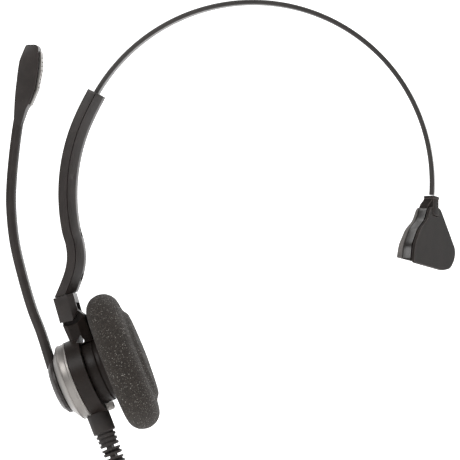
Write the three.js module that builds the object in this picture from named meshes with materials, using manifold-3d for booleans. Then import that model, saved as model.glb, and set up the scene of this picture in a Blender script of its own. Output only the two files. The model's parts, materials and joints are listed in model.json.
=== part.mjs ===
// A one-ear corded office headset, as worn, in millimetres.
// The origin is the underside of the headband at its crown, +Z up, +X from the ear cup to the
// temple pad, +Y backwards. The ear cup is built in a frame of its own, whose Z axis points at the ear.
import * as THREE from "three";
import { mergeVertices } from "three/addons/utils/BufferGeometryUtils.js";
import Module from "manifold-3d";

const wasm = await Module();
wasm.setup();

// ---- driving dimensions -------------------------------------------------------------------------
const GAP = 0.3; // clearance between touching pieces
const FIT = 0.4; // clearance round pins and screws

const BAND = { radius: 72.5, thick: 1.7, wide: 5, left: 168, right: -4 }; // angles in degrees
const SHOE = { from: 168.4, to: 172.4, thick: 1.9, wide: 7 };
const CHANNEL = { from: 147, to: 178.4, inner: 1.15, outer: 1.1, wide: 7.8 };

const ARM = { outer: 2.95, inner: 3.6, backHalf: 5.5, ridgeHalf: 6.5, innerHalf: 2.2 };
const ARM_SPLIT = 0.7; // height of the joint between the two arm shells above the band's centreline
const KNEE = { out: [-79.2, -117.4], in: [-71.5, -115.0] };
const BLOCK = { along: [0.28, -0.96], width: 8.2, ridge: 5.8 };
const BLOCK_HALF = { back: 5.6, ridge: 6.5, inner: 4.6 };
const BLOCK_END = [[-76.3, -127.4], [-71.0, -126.3], [-69.2, -122.8]];
const PIVOT = [-73.2, -122.6];
const TONGUE = { half: 3.4, radius: 3.0 };
const SHOULDER = 6.0; // the wide part of the neck stays outside this radius of the pivot

const CUP = { x: -58.3, z: -145.5, tilt: 68.5 };
const NECK_WINDOW = [[-68.4, -131.2], [-64.7, -134.7], [-66.0, -135.7], [-70.0, -135.5]];
const FOAM = { radius: 28, deep: 14.4, crown: 16, crownRadius: 15.8, crownFoot: 20.4, rim: 6.8 };
const FOAM_POCKET = { radius: 21.8, mouth: 13.7 };
const NECK_RADIUS = 12.9;
const BODY = { radius: 15.9, inner: 14.3, front: -5.6, back: -11.4, floor: 1.5 };
const RING = { straight: 3.7, chamfer: 3.0, small: 11.6 };
const HUB = { radius: 11.4, back: -18.9, height: 3.7, shaft: 3.4 };
const RELIEF = { from: 16.3, collar: 7.3, radius: 4.6, length: 34, depth: -10 };
const RIBS = { radius: 4.05, tip: 3.3, pitch: 1.9, web: 1.15 }; // web is half the joining wall's width
const CORD = { radius: 1.2, sides: 8 };
const HANK = { inner: 7.5, pitch: 2.45, turns: 3, layers: 3, straight: 19, top: -218.5, x: -44.4 };

const BOOM = { half: 2.1, deep: 2.3 };
const PAD = { x: 72.2, z: -77.3, yaw: -17.3, pitch: -4.5, half: 25.2, low: -28.4 };
const SPIGOT = { radius: 1.25, length: 6.6 };
const CROSS_PIN = 0.5;
const CROSS_PIN_AT = [-0.85, 0, -9.5];

// ---- helpers ------------------------------------------------------------------------------------
const rad = (degrees) => (degrees * Math.PI) / 180;

// Bare closed surface: shared corners joined, empty faces dropped, faces pointing out.
function closed(geometry) {
  const bare = geometry.clone();
  bare.deleteAttribute("normal");
  bare.deleteAttribute("uv");
  const merged = mergeVertices(bare, 1e-4);
  const p = merged.getAttribute("position");
  const a = new THREE.Vector3();
  const b = new THREE.Vector3();
  const c = new THREE.Vector3();
  const faces = [];
  let volume = 0;
  for (let i = 0; i < merged.index.count; i += 3) {
    const [i0, i1, i2] = [0, 1, 2].map((k) => merged.index.getX(i + k));
    if (i0 === i1 || i1 === i2 || i2 === i0) continue;
    faces.push(i0, i1, i2);
    a.fromBufferAttribute(p, i0);
    b.fromBufferAttribute(p, i1);
    c.fromBufferAttribute(p, i2);
    volume += a.dot(b.cross(c));
  }
  if (volume < 0) faces.reverse();
  merged.setIndex(faces);
  return merged;
}

function toSolid(geometry) {
  const g = closed(geometry);
  return new wasm.Manifold(
    new wasm.Mesh({
      numProp: 3,
      vertProperties: new Float32Array(g.getAttribute("position").array),
      triVerts: new Uint32Array(g.index.array),
    }),
  );
}

function fromSolid(solid) {
  const mesh = solid.getMesh();
  const geometry = new THREE.BufferGeometry();
  geometry.setAttribute("position", new THREE.Float32BufferAttribute(mesh.vertProperties, 3));
  geometry.setIndex([...mesh.triVerts]);
  return closed(geometry);
}

const cut = (body, ...tools) =>
  fromSolid(tools.reduce((solid, tool) => solid.subtract(toSolid(tool)), toSolid(body)));
const join = (body, ...more) =>
  fromSolid(more.reduce((solid, piece) => solid.add(toSolid(piece)), toSolid(body)));
const common = (body, other) => fromSolid(toSolid(body).intersect(toSolid(other)));

const shapeOf = (outline) => new THREE.Shape(outline.map(([x, y]) => new THREE.Vector2(x, y)));

// A body turned about the Z axis from [radius, height] corners.
function turned(profile, segments = 32) {
  const loop = profile[0][0] > 0 ? [...profile, profile[0]] : profile;
  const points = loop.map(([r, z]) => new THREE.Vector2(r, z));
  return closed(new THREE.LatheGeometry(points, segments).rotateX(Math.PI / 2));
}

// An outline in X and Z, pushed along Y from y0 to y1.
function slab(outline, y0, y1) {
  const options = { depth: y1 - y0, bevelEnabled: false, curveSegments: 6 };
  const shape = Array.isArray(outline) ? shapeOf(outline) : outline;
  return new THREE.ExtrudeGeometry(shape, options).rotateX(Math.PI / 2).translate(0, y1, 0);
}

// An outline in Y and Z, pushed along X from x0 to x1.
function plate(outline, x0, x1, bevel = 0) {
  const options = {
    depth: x1 - x0 - 2 * bevel,
    bevelEnabled: bevel > 0,
    bevelSize: bevel,
    bevelOffset: -bevel,
    bevelThickness: bevel,
    bevelSegments: 1,
    curveSegments: 5,
  };
  const shape = Array.isArray(outline) ? shapeOf(outline) : outline;
  const body = new THREE.ExtrudeGeometry(shape, options);
  return body.rotateX(Math.PI / 2).rotateZ(Math.PI / 2).translate(x0 + bevel, 0, 0);
}

function box(x0, x1, y0, y1, z0, z1) {
  const body = new THREE.BoxGeometry(x1 - x0, y1 - y0, z1 - z0);
  return body.translate((x0 + x1) / 2, (y0 + y1) / 2, (z0 + z1) / 2);
}

// A round bar along Y, centred on y = 0.
const rodY = (radius, length, sides = 16) => new THREE.CylinderGeometry(radius, radius, length, sides);

// A curve in the plane y = 0, from a function of t that gives [x, z].
class FlatCurve extends THREE.Curve {
  constructor(place) {
    super();
    this.place = place;
  }
  getPoint(t, target = new THREE.Vector3()) {
    const [x, z] = this.place(t);
    return target.set(x, 0, z);
  }
}

const through = (points) =>
  new THREE.CatmullRomCurve3(points.map(([x, y, z]) => new THREE.Vector3(x, y, z)), false, "centripetal");

const sweep = (section, curve, steps) =>
  closed(new THREE.ExtrudeGeometry(shapeOf(section), { extrudePath: curve, steps, bevelEnabled: false }));

const polygon = (radius, sides) =>
  Array.from({ length: sides }, (_, i) => {
    const angle = ((i + 0.5) * 2 * Math.PI) / sides;
    return [radius * Math.cos(angle), radius * Math.sin(angle)];
  });

// A point on the headband's arc, radius mm from its centre, at an angle up from +X.
const onBand = (degrees, radius = BAND.radius) => [
  radius * Math.cos(rad(degrees)),
  BAND.thick / 2 - BAND.radius + radius * Math.sin(rad(degrees)),
];
const bandCurve = (from, to, radius) =>
  new FlatCurve((t) => onBand(from + (to - from) * t, radius));

// A section whose corners are cut off at 45 degrees.
function bar(halfA, halfB, corner) {
  return [
    [halfA, -halfB + corner],
    [halfA, halfB - corner],
    [halfA - corner, halfB],
    [-halfA + corner, halfB],
    [-halfA, halfB - corner],
    [-halfA, -halfB + corner],
    [-halfA + corner, -halfB],
    [halfA - corner, -halfB],
  ];
}

// ---- materials ----------------------------------------------------------------------------------
const finish = (color, roughness, metalness) =>
  new THREE.MeshStandardMaterial({ color, roughness, metalness });

const MATERIALS = {
  spring: finish(0x2f2d2b, 0.4, 0.6),
  satinBlack: finish(0x2b2827, 0.45, 0),
  glossBlack: finish(0x1d1a19, 0.2, 0),
  silver: finish(0xa8a29c, 0.35, 0.8),
  steel: finish(0xb8b8b8, 0.3, 1),
  foam: finish(0x3a3733, 0.95, 0),
  rubber: finish(0x242120, 0.7, 0),
  boardGreen: finish(0x1f5a3a, 0.5, 0),
  film: finish(0xc9c2a8, 0.5, 0),
  felt: finish(0x77736c, 0.95, 0),
  brass: finish(0xc9a24a, 0.3, 1),
};

const headset = new THREE.Group();
headset.name = "headset";

function add(name, geometry, material, parent = headset) {
  const mesh = new THREE.Mesh(geometry, MATERIALS[material]);
  mesh.name = name;
  parent.add(mesh);
  return mesh;
}

// ---- headband -----------------------------------------------------------------------------------
function headband() {
  const section = bar(BAND.wide / 2, BAND.thick / 2, 0.4);
  const curve = bandCurve(BAND.left, BAND.right);
  add("headband_spring", sweep(section, curve, 76), "spring");
  const shoe = bar(SHOE.wide / 2, SHOE.thick / 2, 0.4);
  add("slider_shoe", sweep(shoe, bandCurve(SHOE.from, SHOE.to), 3), "satinBlack");
  const { radius, length } = SPIGOT;
  const spigot = turned([
    [0, -length], [radius - 0.4, -length], [radius, -length + 0.6], [radius, 0], [0, 0],
  ], 14);
  const pin = add("band_end_spigot", spigot, "steel");
  pin.position.set(PAD.x, 0, PAD.z - 0.1);
  pin.rotation.x = rad(PAD.pitch);
}

// ---- slider arm ---------------------------------------------------------------------------------
// The arm follows the band's arc, drifts outwards from it, then bends in and out again to the knee.
const ARM_BEND = [
  [-71.3, 0, -95.2],
  [-70.65, 0, -100.6],
  [-71.25, 0, -105.9],
  [-73.0, 0, -111.4],
  [-75.6, 0, -117.6],
  [-77.2, 0, -121.6],
];
function armLine() {
  const arc = [];
  for (let angle = 148.4; angle < 196; angle += 6.6) {
    const drift = 0.065 * Math.max(0, angle - 155);
    const [x, z] = onBand(angle, BAND.radius + drift);
    arc.push([x, 0, z]);
  }
  return through([...arc, ...ARM_BEND]);
}

// Section points are [across, outwards].
const outerSection = (top) => [
  [ARM.backHalf, ARM.outer],
  [-ARM.backHalf, ARM.outer],
  [-ARM.ridgeHalf, -top],
  [ARM.ridgeHalf, -top],
];
const innerSection = (low) => [
  [ARM.ridgeHalf, -low],
  [-ARM.ridgeHalf, -low],
  [-ARM.innerHalf, -ARM.inner],
  [ARM.innerHalf, -ARM.inner],
];

// The height of the knee's mitre line at a given X.
function kneeAt(x) {
  const [ox, oz] = KNEE.out;
  const [ix, iz] = KNEE.in;
  return oz + ((iz - oz) / (ix - ox)) * (x - ox);
}
const belowKnee = () => slab([[-95, kneeAt(-95)], [-95, -150], [-50, -150], [-50, kneeAt(-50)]], -20, 20);

// A countersunk screw along +Z of its own frame: head at z = 0, point at z = length.
const screwBody = (head, shank, length) =>
  turned([[0, -0.9], [head, -0.9], [head, 0], [shank, 0.4], [shank, length - 0.5], [0, length]], 12);

const ARM_SCREWS = [
  { name: "arm_screw_upper", at: [-72.1, -91.6], turn: -99 },
  { name: "arm_screw_lower", at: [-71.9, -107.6], turn: -72 },
];
const ARM_SCREW = { seat: -1.9, head: 1.5, shank: 0.8, length: 3.4 };

// Turns a body made round +Z so that it points out of the head at a place on the arm.
function placeScrew(geometry, screw) {
  const [x, z] = screw.at;
  return geometry.rotateY(rad(screw.turn)).translate(x, 0, z);
}

function arm() {
  const line = armLine();
  const channelHalf = CHANNEL.wide / 2;
  const channelSection = [
    [channelHalf, CHANNEL.outer],
    [-channelHalf, CHANNEL.outer],
    [-channelHalf, -CHANNEL.inner],
    [channelHalf, -CHANNEL.inner],
  ];
  const channel = sweep(channelSection, bandCurve(CHANNEL.from, CHANNEL.to), 12);
  const bores = ARM_SCREWS.map((screw) =>
    placeScrew(turned([[0, -6], [1.9, -6], [1.9, ARM_SCREW.seat], [1.2, ARM_SCREW.seat + 0.2],
      [1.2, 1.9], [0, 2.2]], 12), screw));
  const springPocket = sweep([[2.6, 1.95], [-2.6, 1.95], [-2.6, 0.8], [2.6, 0.8]],
    bandCurve(149.6, 159), 5);
  const knee = belowKnee();

  const outer = sweep(outerSection(ARM_SPLIT), line, 46);
  add("arm_outer_shell", cut(outer, channel, springPocket, knee, ...bores), "satinBlack");
  const inner = sweep(innerSection(ARM_SPLIT + GAP), line, 46);
  add("arm_inner_cover", cut(inner, channel, knee, ...bores), "satinBlack");

  const leaf = sweep([[2.2, 1.6], [-2.2, 1.6], [-2.2, 1.25], [2.2, 1.25]], bandCurve(150.2, 158.4), 5);
  add("slider_leaf_spring", leaf, "steel");
  for (const screw of ARM_SCREWS) {
    const body = screwBody(ARM_SCREW.head, ARM_SCREW.shank, ARM_SCREW.length);
    add(screw.name, placeScrew(body.translate(0, 0, ARM_SCREW.seat - 0.1 - GAP), screw), "steel");
  }
}

// ---- fork block under the knee ------------------------------------------------------------------
function forkBlock() {
  const [dx, dz] = BLOCK.along;
  const [ox, oz] = KNEE.out;
  const start = new THREE.Vector3(ox - dx * 6, 0, oz - dz * 6);
  const end = new THREE.Vector3(ox + dx * 18, 0, oz + dz * 18);
  const section = [
    [BLOCK_HALF.back, 0],
    [-BLOCK_HALF.back, 0],
    [-BLOCK_HALF.ridge, -BLOCK.ridge],
    [-BLOCK_HALF.inner, -BLOCK.width],
    [BLOCK_HALF.inner, -BLOCK.width],
    [BLOCK_HALF.ridge, -BLOCK.ridge],
  ];
  const body = sweep(section, new THREE.LineCurve3(start, end), 1);
  // The end is square across the front face and rises to a point across the bevel.
  const outline = [
    [-84, kneeAt(-84) - GAP],
    [-84, -129],
    ...BLOCK_END,
    [-64, -118],
    [-64, kneeAt(-64) - GAP],
  ];
  const trimmed = common(body, slab(outline, -10, 10));
  const half = TONGUE.half + 0.35;
  const [px, pz] = PIVOT;
  const slot = box(-90, -60, -half, half, -135, pz + TONGUE.radius + 0.6);
  // The pin goes in from the back, and its bore stops short of the front face.
  const bore = rodY(0.9 + FIT, 25.3).translate(px, 7.35, pz);
  const head = rodY(1.9, 2).translate(px, 6.3, pz);
  add("fork_block", cut(trimmed, slot, bore, head), "satinBlack");

  const pin = turned([[0, -5.9], [1.5, -5.9], [1.5, -5.4], [0.9, -5.2], [0.9, 5], [0, 5]], 14);
  add("cup_pivot_pin", pin.rotateX(Math.PI / 2), "steel").position.set(px, 0, pz);
}

// ---- ear cup ------------------------------------------------------------------------------------
const cup = new THREE.Group();
cup.position.set(CUP.x, 0, CUP.z);
cup.rotation.y = rad(CUP.tilt);
headset.add(cup);

const NORMAL = [Math.sin(rad(CUP.tilt)), Math.cos(rad(CUP.tilt))]; // towards the ear, in X and Z
const DOWN = [NORMAL[1], -NORMAL[0]]; // down along the disc

// A point of the cup's own frame in the headset's X and Z, and the way back.
const fromCup = (along, depth) => [
  CUP.x + along * DOWN[0] + depth * NORMAL[0],
  CUP.z + along * DOWN[1] + depth * NORMAL[1],
];
const toCup = (x, z) => [
  (x - CUP.x) * DOWN[0] + (z - CUP.z) * DOWN[1],
  (x - CUP.x) * NORMAL[0] + (z - CUP.z) * NORMAL[1],
];

function earCushion() {
  const { radius, deep, crown, crownRadius, crownFoot, rim } = FOAM;
  const { radius: pocket, mouth } = FOAM_POCKET;
  const profile = [[0, 8.3], [pocket, 8.3], [pocket, 2.1], [mouth, 2.1], [mouth, 0]];
  for (let angle = -90; angle <= 90; angle += 22.5) {
    const half = deep / 2;
    profile.push([radius - rim + rim * Math.cos(rad(angle)), half + half * Math.sin(rad(angle))]);
  }
  profile.push([crownFoot, deep], [crownRadius, crown], [0, crown]);
  add("ear_cushion", turned(profile, 40), "foam", cup);
}

const SCREW_PLACES = [[0, 10.2], [0, -10.2]];
// A clearance bore along the cup's axis at each of the two screws.
const screwBores = (length, middle) =>
  SCREW_PLACES.map(([x, y]) =>
    new THREE.CylinderGeometry(1.15, 1.15, length, 12).rotateX(Math.PI / 2).translate(x, y, middle));

function speaker() {
  const plateProfile = [
    [11.4, -5.3], [NECK_RADIUS, -5.3], [NECK_RADIUS, 2.5], [21.3, 2.5], [21.3, 3.9], [16.3, 3.9],
    [16.3, 7.4], [15.4, 7.4], [15.4, 3.6], [11.4, 3.6], [11.4, -2.4], [9.0, -2.4], [9.0, -5.3],
  ];
  add("speaker_plate", cut(turned(plateProfile, 40), ...screwBores(6, -5)), "satinBlack", cup);
  const basket = [[7.1, 3.95], [14.9, 3.95], [14.9, 6.3], [13.6, 6.3], [13.6, 4.9], [7.1, 4.9]];
  add("speaker_basket", turned(basket, 28), "steel", cup);
  add("speaker_magnet", turned([[0, 0.6], [6.6, 0.6], [6.6, 4.7], [0, 4.7]], 20), "steel", cup);
  const cone = [[0, 5.7], [4.5, 5.3], [8, 5.3], [13.2, 5.1], [13.2, 5.4], [8, 5.75], [4.5, 5.75], [0, 6.15]];
  add("speaker_diaphragm", turned(cone, 24), "film", cup);
  add("speaker_grille", turned([[0, 6.7], [14.9, 6.7], [14.9, 7.3], [0, 7.3]], 24), "satinBlack", cup);
  add("damping_felt", turned([[7.2, 2.9], [11.0, 2.9], [11.0, 3.5], [7.2, 3.5]], 20), "felt", cup);
}

// The outline of the neck in the cup's frame, [along, depth]: a tongue round the pivot, widening
// into the housing.
function neckOutline() {
  const [px, pz] = toCup(...PIVOT);
  const knuckle = [];
  for (let angle = 90; angle <= 250; angle += 20) {
    knuckle.push([px + TONGUE.radius * Math.cos(rad(angle)), pz + TONGUE.radius * Math.sin(rad(angle))]);
  }
  return [
    ...knuckle,
    toCup(-75.4, -128.4),
    toCup(-72.5, -134.6),
    [-12.5, -9.4],
    [-12.5, -5.6],
    [-13.6, -5.6],
    [-13.6, -1.1],
    [-23.5, -1.1],
  ];
}

function housing() {
  const { radius, inner, front, back, floor } = BODY;
  const shell = turned([
    [6, front], [radius, front], [radius, back], [inner, back], [inner, front - floor], [6, front - floor],
  ], 40);
  const [px, pz] = toCup(...PIVOT);
  const neck = neckOutline();
  const faceted = plate([
    [4.4, -9.6], [5.9, -7.9], [5.9, -4.0], [4.0, -1.0],
    [-4.0, -1.0], [-5.9, -4.0], [-5.9, -7.9], [-4.4, -9.6],
  ], -30, -10);
  const shoulderRound = rodY(SHOULDER, 20, 28).translate(px, 0, pz);
  const wide = cut(common(slab(neck, -7, 7), faceted), shoulderRound);
  const narrow = slab(neck, -TONGUE.half, TONGUE.half);
  const plateClear = turned([[0, -5.45], [NECK_RADIUS + GAP, -5.45], [NECK_RADIUS + GAP, 4], [0, 4]], 40);
  const hollow = turned([[0, back - 1], [inner, back - 1], [inner, front - floor], [0, front - floor]], 40);
  const wireHole = turned([[0, -9], [6, -9], [6, -4], [0, -4]], 40);
  const pinHole = rodY(0.9 + FIT, 20).translate(px, 0, pz);
  const windowHole = slab(NECK_WINDOW.map(([x, z]) => toCup(x, z)), -9, 9);
  const exit = new THREE.CylinderGeometry(2, 2, 8, 12).rotateZ(Math.PI / 2).translate(14.5, 0, -9.2);
  const tools = [plateClear, hollow, wireHole, pinHole, windowHole, exit, ...screwBores(8, -6)];
  add("cup_housing", cut(join(shell, wide, narrow), ...tools), "satinBlack", cup);

  for (const [index, [x, y]] of SCREW_PLACES.entries()) {
    const body = screwBody(1.7, 0.8, 4.2);
    add(`housing_screw_${index + 1}`, body, "steel", cup).position.set(x, y, front - floor - GAP);
  }
  add("terminal_board", box(-9, 9, -8, 8, -9.9, -9.1), "boardGreen", cup);
  const clampBore = new THREE.CylinderGeometry(1.6, 1.6, 6, 12).rotateZ(Math.PI / 2).translate(11, 0, -9.2);
  add("cord_clamp", cut(box(9.6, 12.2, -4, 4, -11.4, -7.4), clampBore), "satinBlack", cup);
  const tab = [[13.4, -5.3], [15.4, -5.3], [16.1, -4.6], [16.1, -3.2], [15.4, -2.6], [13.4, -2.6]];
  add("gland_tab", slab(tab, -1.6, 1.6), "glossBlack", cup);
}

function trimRing() {
  const { radius, inner, back } = BODY;
  const top = back - GAP;
  const edge = top - RING.straight;
  const low = edge - RING.chamfer;
  const profile = [
    [inner, top], [radius, top], [radius, edge], [RING.small, low], [HUB.shaft + 0.5, low],
    [HUB.shaft + 0.5, low + 1.4], [RING.small - 0.9, low + 1.4], [inner, edge + 0.5],
  ];
  add("trim_ring", turned(profile, 44), "silver", cup);
}

// ---- strain relief ------------------------------------------------------------------------------
// A ribbed sleeve round the cord. Slots in pairs leave two webs between its ribs, and each pair is
// a quarter turn from the next, so that it bends every way.
function strainRelief() {
  const { collar, radius, length } = RELIEF;
  const { radius: ribRadius, tip, pitch, web } = RIBS;
  const bore = CORD.radius + 0.35;
  const profile = [[bore, 0], [radius, 0], [radius, collar]];
  const ribs = Math.floor((length - collar) / pitch);
  const width = (z) => ribRadius + (tip - ribRadius) * ((z - collar) / (length - collar));
  for (let i = 0; i < ribs; i += 1) {
    const z = collar + i * pitch;
    const root = width(z) - 0.6;
    profile.push([root, z + 0.05], [root, z + 0.75], [width(z), z + 0.8], [width(z + pitch), z + pitch]);
  }
  profile.push([tip - 0.3, length], [bore, length]);
  const slots = [];
  for (let i = 3; i < ribs; i += 1) {
    const z = collar + i * pitch;
    for (const [low, high] of [[-6, -web], [web, 6]]) {
      slots.push(i % 2 ? box(low, high, -6, 6, z, z + 0.8) : box(-6, 6, low, high, z, z + 0.8));
    }
  }
  const sleeve = cut(turned(profile, 20), ...slots);
  // The sleeve's own +Z runs along the cup's +X.
  add("strain_relief", sleeve.rotateY(Math.PI / 2), "rubber", cup)
    .position.set(RELIEF.from, 0, RELIEF.depth);
}

// ---- boom ---------------------------------------------------------------------------------------
// Centreline of the boom in the headset's X and Z, from the hub to the microphone.
const BOOM_LINE = [
  [-81.5, -141.7],
  [-84.8, -131.4],
  [-88.7, -121.3],
  [-93.2, -106.0],
  [-95.9, -94.2],
  [-97.3, -80.2],
  [-97.1, -70.2],
  [-95.8, -56.2],
  [-94.3, -45.6],
];
const MIC_OUTLINE = [
  [-96.0, -45.2], [-95.5, -38.6], [-95.0, -33.0], [-94.1, -25.4], [-93.5, -21.7], [-90.6, -16.0],
  [-87.1, -16.0], [-86.0, -17.6], [-85.9, -21.7], [-86.0, -25.4], [-87.2, -33.0], [-89.3, -38.6],
  [-91.0, -41.2], [-92.3, -45.2],
];

function boom() {
  const { radius, back, height, shaft } = HUB;
  const cap = [
    [0, back], [radius, back], [radius, back - 1.3], [radius - 2.2, back - height + 0.5],
    [radius - 4.6, back - height], [0, back - height],
  ];
  add("boom_hub_cap", turned(cap, 36), "satinBlack", cup);
  const low = back + GAP;
  const stem = [
    [0, low], [shaft, low], [shaft, low + 2.4], [2.7, low + 2.4], [2.7, low + 3.4], [shaft, low + 3.4],
    [shaft - 0.5, low + 4.6], [0, low + 4.6],
  ];
  add("boom_hub_shaft", turned(stem, 20), "satinBlack", cup);
  const clip = turned([[3.0, low + 2.6], [5.4, low + 2.6], [5.4, low + 3.2], [3.0, low + 3.2]], 20);
  add("boom_retaining_clip", cut(clip, box(2, 7, -2, 2, -30, 0)), "steel", cup);

  const section = [
    [0, BOOM.half], [-BOOM.deep * 0.8, BOOM.half * 0.75], [-BOOM.deep, -0.2], [-BOOM.deep * 0.55, -BOOM.half],
    [BOOM.deep * 0.55, -BOOM.half], [BOOM.deep, -0.2], [BOOM.deep * 0.8, BOOM.half * 0.75],
  ];
  const line = through(BOOM_LINE.map(([x, z]) => [x, 0, z]));
  add("boom_tube", sweep(section.reverse(), line, 40), "satinBlack");

  const shell = slab(MIC_OUTLINE, -3.6, 3.6);
  const pocket = slab([[-92.6, -21.6], [-80, -21.6], [-80, -33.4], [-92.6, -33.4]], -2.9, 2.9);
  add("mic_housing", cut(shell, pocket), "satinBlack");
  const strip = [
    [-85.6, -17.7], [-84.8, -18.4], [-84.7, -21.7], [-84.8, -25.4], [-86.0, -33.2], [-88.0, -38.9],
    [-88.9, -38.5], [-86.85, -33.0], [-85.6, -25.4], [-85.5, -21.7],
  ];
  add("mic_grille_strip", slab(strip, -3.2, 3.2), "silver");
  const capsule = turned([[0, 0], [2.5, 0], [2.5, 2.6], [0, 2.6]], 18).rotateY(Math.PI / 2);
  add("mic_capsule", capsule, "steel").position.set(-91.4, 0, -27.2);
  const seal = turned([[1.3, 0], [2.5, 0], [2.5, 0.8], [1.3, 0.8]], 18).rotateY(Math.PI / 2);
  add("mic_gasket", seal, "rubber").position.set(-88.5, 0, -27.2);
}

// ---- temple pad ---------------------------------------------------------------------------------
const temple = new THREE.Group();
temple.position.set(PAD.x, 0, PAD.z);
temple.rotation.set(rad(PAD.pitch), 0, rad(PAD.yaw), "XYZ");
headset.add(temple);

// The pad's outline, [back, up]: a rounded triangle, the same front and back. grow moves it outwards.
function padOutline(grow) {
  const { half, low } = PAD;
  const side = [
    [6.6 + grow, -4.9 + grow],
    [16.4 + grow, -13.4 + grow * 0.6],
    [23.4 + grow, -19.9 + grow * 0.4],
    [half + grow, -22.6],
    [half - 0.3 + grow, -25.0 - grow * 0.4],
    [half - 2.6 + grow, -27.4 - grow],
    [half - 6 + grow * 0.4, low - grow],
  ];
  const other = side.map(([y, z]) => [-y, z]).reverse();
  return [...side, ...other].reverse();
}

function templePad() {
  // The clip turns on the band's spigot, and its tongue is pinned in the pad's carrier.
  const clipBody = join(
    box(-2.1, 2.1, -2.95, 2.95, -1, 0),
    box(-1.95, 1.95, -2.7, 2.7, -7.6, -0.9),
    box(-1.85, 0.1, -2.7, 2.7, -11, -7.5),
  );
  const spigotBore = new THREE.CylinderGeometry(SPIGOT.radius + 0.35, SPIGOT.radius + 0.35, 10, 14);
  const pinBore = rodY(CROSS_PIN + GAP, 12, 12).translate(...CROSS_PIN_AT);
  const clip = cut(clipBody, spigotBore.rotateX(Math.PI / 2).translate(0, 0, -2), pinBore);
  add("temple_clip", clip, "satinBlack", temple);
  add("temple_cross_pin", rodY(CROSS_PIN, 9.6, 12), "steel", temple).position.set(...CROSS_PIN_AT);

  const notch = box(-2.3, 4, -3.05, 3.05, -7.95, 2);
  const pocket = box(-2.2, 4, -3.05, 3.05, -11.4, -7.9);
  const pinSlot = rodY(CROSS_PIN + GAP, 10.6, 12).translate(...CROSS_PIN_AT);
  const carrier = cut(plate(padOutline(0), -3.0, 0.2), notch, pocket, pinSlot);
  add("temple_pad_carrier", carrier, "glossBlack", temple);
  add("temple_pad_cover", cut(plate(padOutline(-0.4), 0.5, 1.7, 0.6), notch), "satinBlack", temple);
  const wedge = slab([[-3.3, 0], [-3.3, -32], [-5.4, -32], [-3.9, 0]], -30, 30);
  add("temple_pad_cushion", common(plate(padOutline(0), -7, 0), wedge), "rubber", temple);
}

// ---- cord, hank and plug ------------------------------------------------------------------------
// The lead runs down the strain relief's bore, then on to the hank's outermost run, in X and Z.
const LEAD_ROUTE = [
  fromCup(17, RELIEF.depth),
  fromCup(26, RELIEF.depth),
  fromCup(34, RELIEF.depth),
  fromCup(42, RELIEF.depth),
  fromCup(50, RELIEF.depth),
  fromCup(56, RELIEF.depth),
  [-44.9, -206.4],
  [-41.9, -212.4],
  [-39.6, -216.6],
];
const HANK_HALF = HANK.inner + (HANK.turns - 1) * HANK.pitch + CORD.radius; // half its width
const HANK_DEEP = (HANK.layers * HANK.pitch) / 2; // half its thickness
const HANK_MIDDLE = HANK.top - HANK_HALF - HANK.straight / 2;
const HANK_LOW = HANK_MIDDLE - HANK_HALF - HANK.straight / 2;
const PLUG = { x: HANK.x + 10.2, top: HANK_LOW - 6.4 };
// The tail leaves the hank's outermost run and goes down into the plug's boot.
const TAIL_ROUTE = [
  [HANK.x + HANK_HALF - CORD.radius, HANK_LOW + 5.0],
  [HANK.x + HANK_HALF - CORD.radius - 0.1, HANK_LOW + 2.0],
  [PLUG.x + 1.0, PLUG.top + 3.6],
  [PLUG.x + 0.1, PLUG.top],
  [PLUG.x, PLUG.top - 4],
  [PLUG.x, PLUG.top - 9.2],
];

function roundEnded(halfWidth, halfLength, x, z) {
  const shape = new THREE.Shape();
  shape.moveTo(x - halfWidth, z - halfLength);
  shape.absarc(x, z - halfLength, halfWidth, Math.PI, 2 * Math.PI, false);
  shape.absarc(x, z + halfLength, halfWidth, 0, Math.PI, false);
  return shape;
}

function cord() {
  const section = polygon(CORD.radius, CORD.sides);
  const lead = through(LEAD_ROUTE.map(([x, z]) => [x, 0, z]));
  add("cord_lead", sweep(section, lead, 14), "rubber");
  const outline = roundEnded(HANK_HALF, HANK.straight / 2, HANK.x, HANK_MIDDLE);
  add("cord_hank", slab(outline, -HANK_DEEP, HANK_DEEP), "rubber");
  const tail = through(TAIL_ROUTE.map(([x, z]) => [x, 0, z]));
  add("cord_tail", sweep(section, tail, 8), "rubber");

  const [halfX, halfY] = [HANK_HALF + GAP, HANK_DEEP + GAP];
  const strap = 0.8;
  const outside = box(-halfX - strap, halfX + strap, -halfY - strap, halfY + strap, -3, 3);
  const tie = cut(outside, box(-halfX, halfX, -halfY, halfY, -4, 4));
  add("cord_tie", tie, "rubber").position.set(HANK.x, 0, HANK_MIDDLE);
}

// The quick-release plug hangs point down: boot, shell and contact block.
function plug() {
  const group = new THREE.Group();
  group.position.set(PLUG.x, 0, PLUG.top);
  headset.add(group);
  const bore = CORD.radius + 0.35;
  const boot = [[bore, -0.5], [2.3, -0.5], [3.1, -7.5], [4.3, -8.2], [4.3, -9.5], [bore, -9.5]];
  add("plug_boot", turned(boot, 18), "rubber", group);
  const barrel = turned([[0, -9.8], [4.6, -9.8], [5.2, -11], [5.2, -24], [0, -24]], 20).scale(1, 0.78, 1);
  const shell = join(barrel, box(-3.9, 3.9, -2.9, 2.9, -29, -23.5));
  add("plug_shell", cut(shell, box(-3.1, 3.1, -2.1, 2.1, -30, -25)), "satinBlack", group);
  add("plug_contact_block", box(-2.7, 2.7, -1.7, 1.7, -28.2, -25.3), "brass", group);
}

headband();
arm();
forkBlock();
earCushion();
speaker();
housing();
trimRing();
strainRelief();
boom();
templePad();
cord();
plug();

export default headset;
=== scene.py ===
"""The looks of a one-ear corded office headset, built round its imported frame."""

import json
import logging
import math
from dataclasses import dataclass, field
from enum import Enum
from typing import Iterable, Sequence, Union

import bpy
from mathutils import Matrix, Vector


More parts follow.
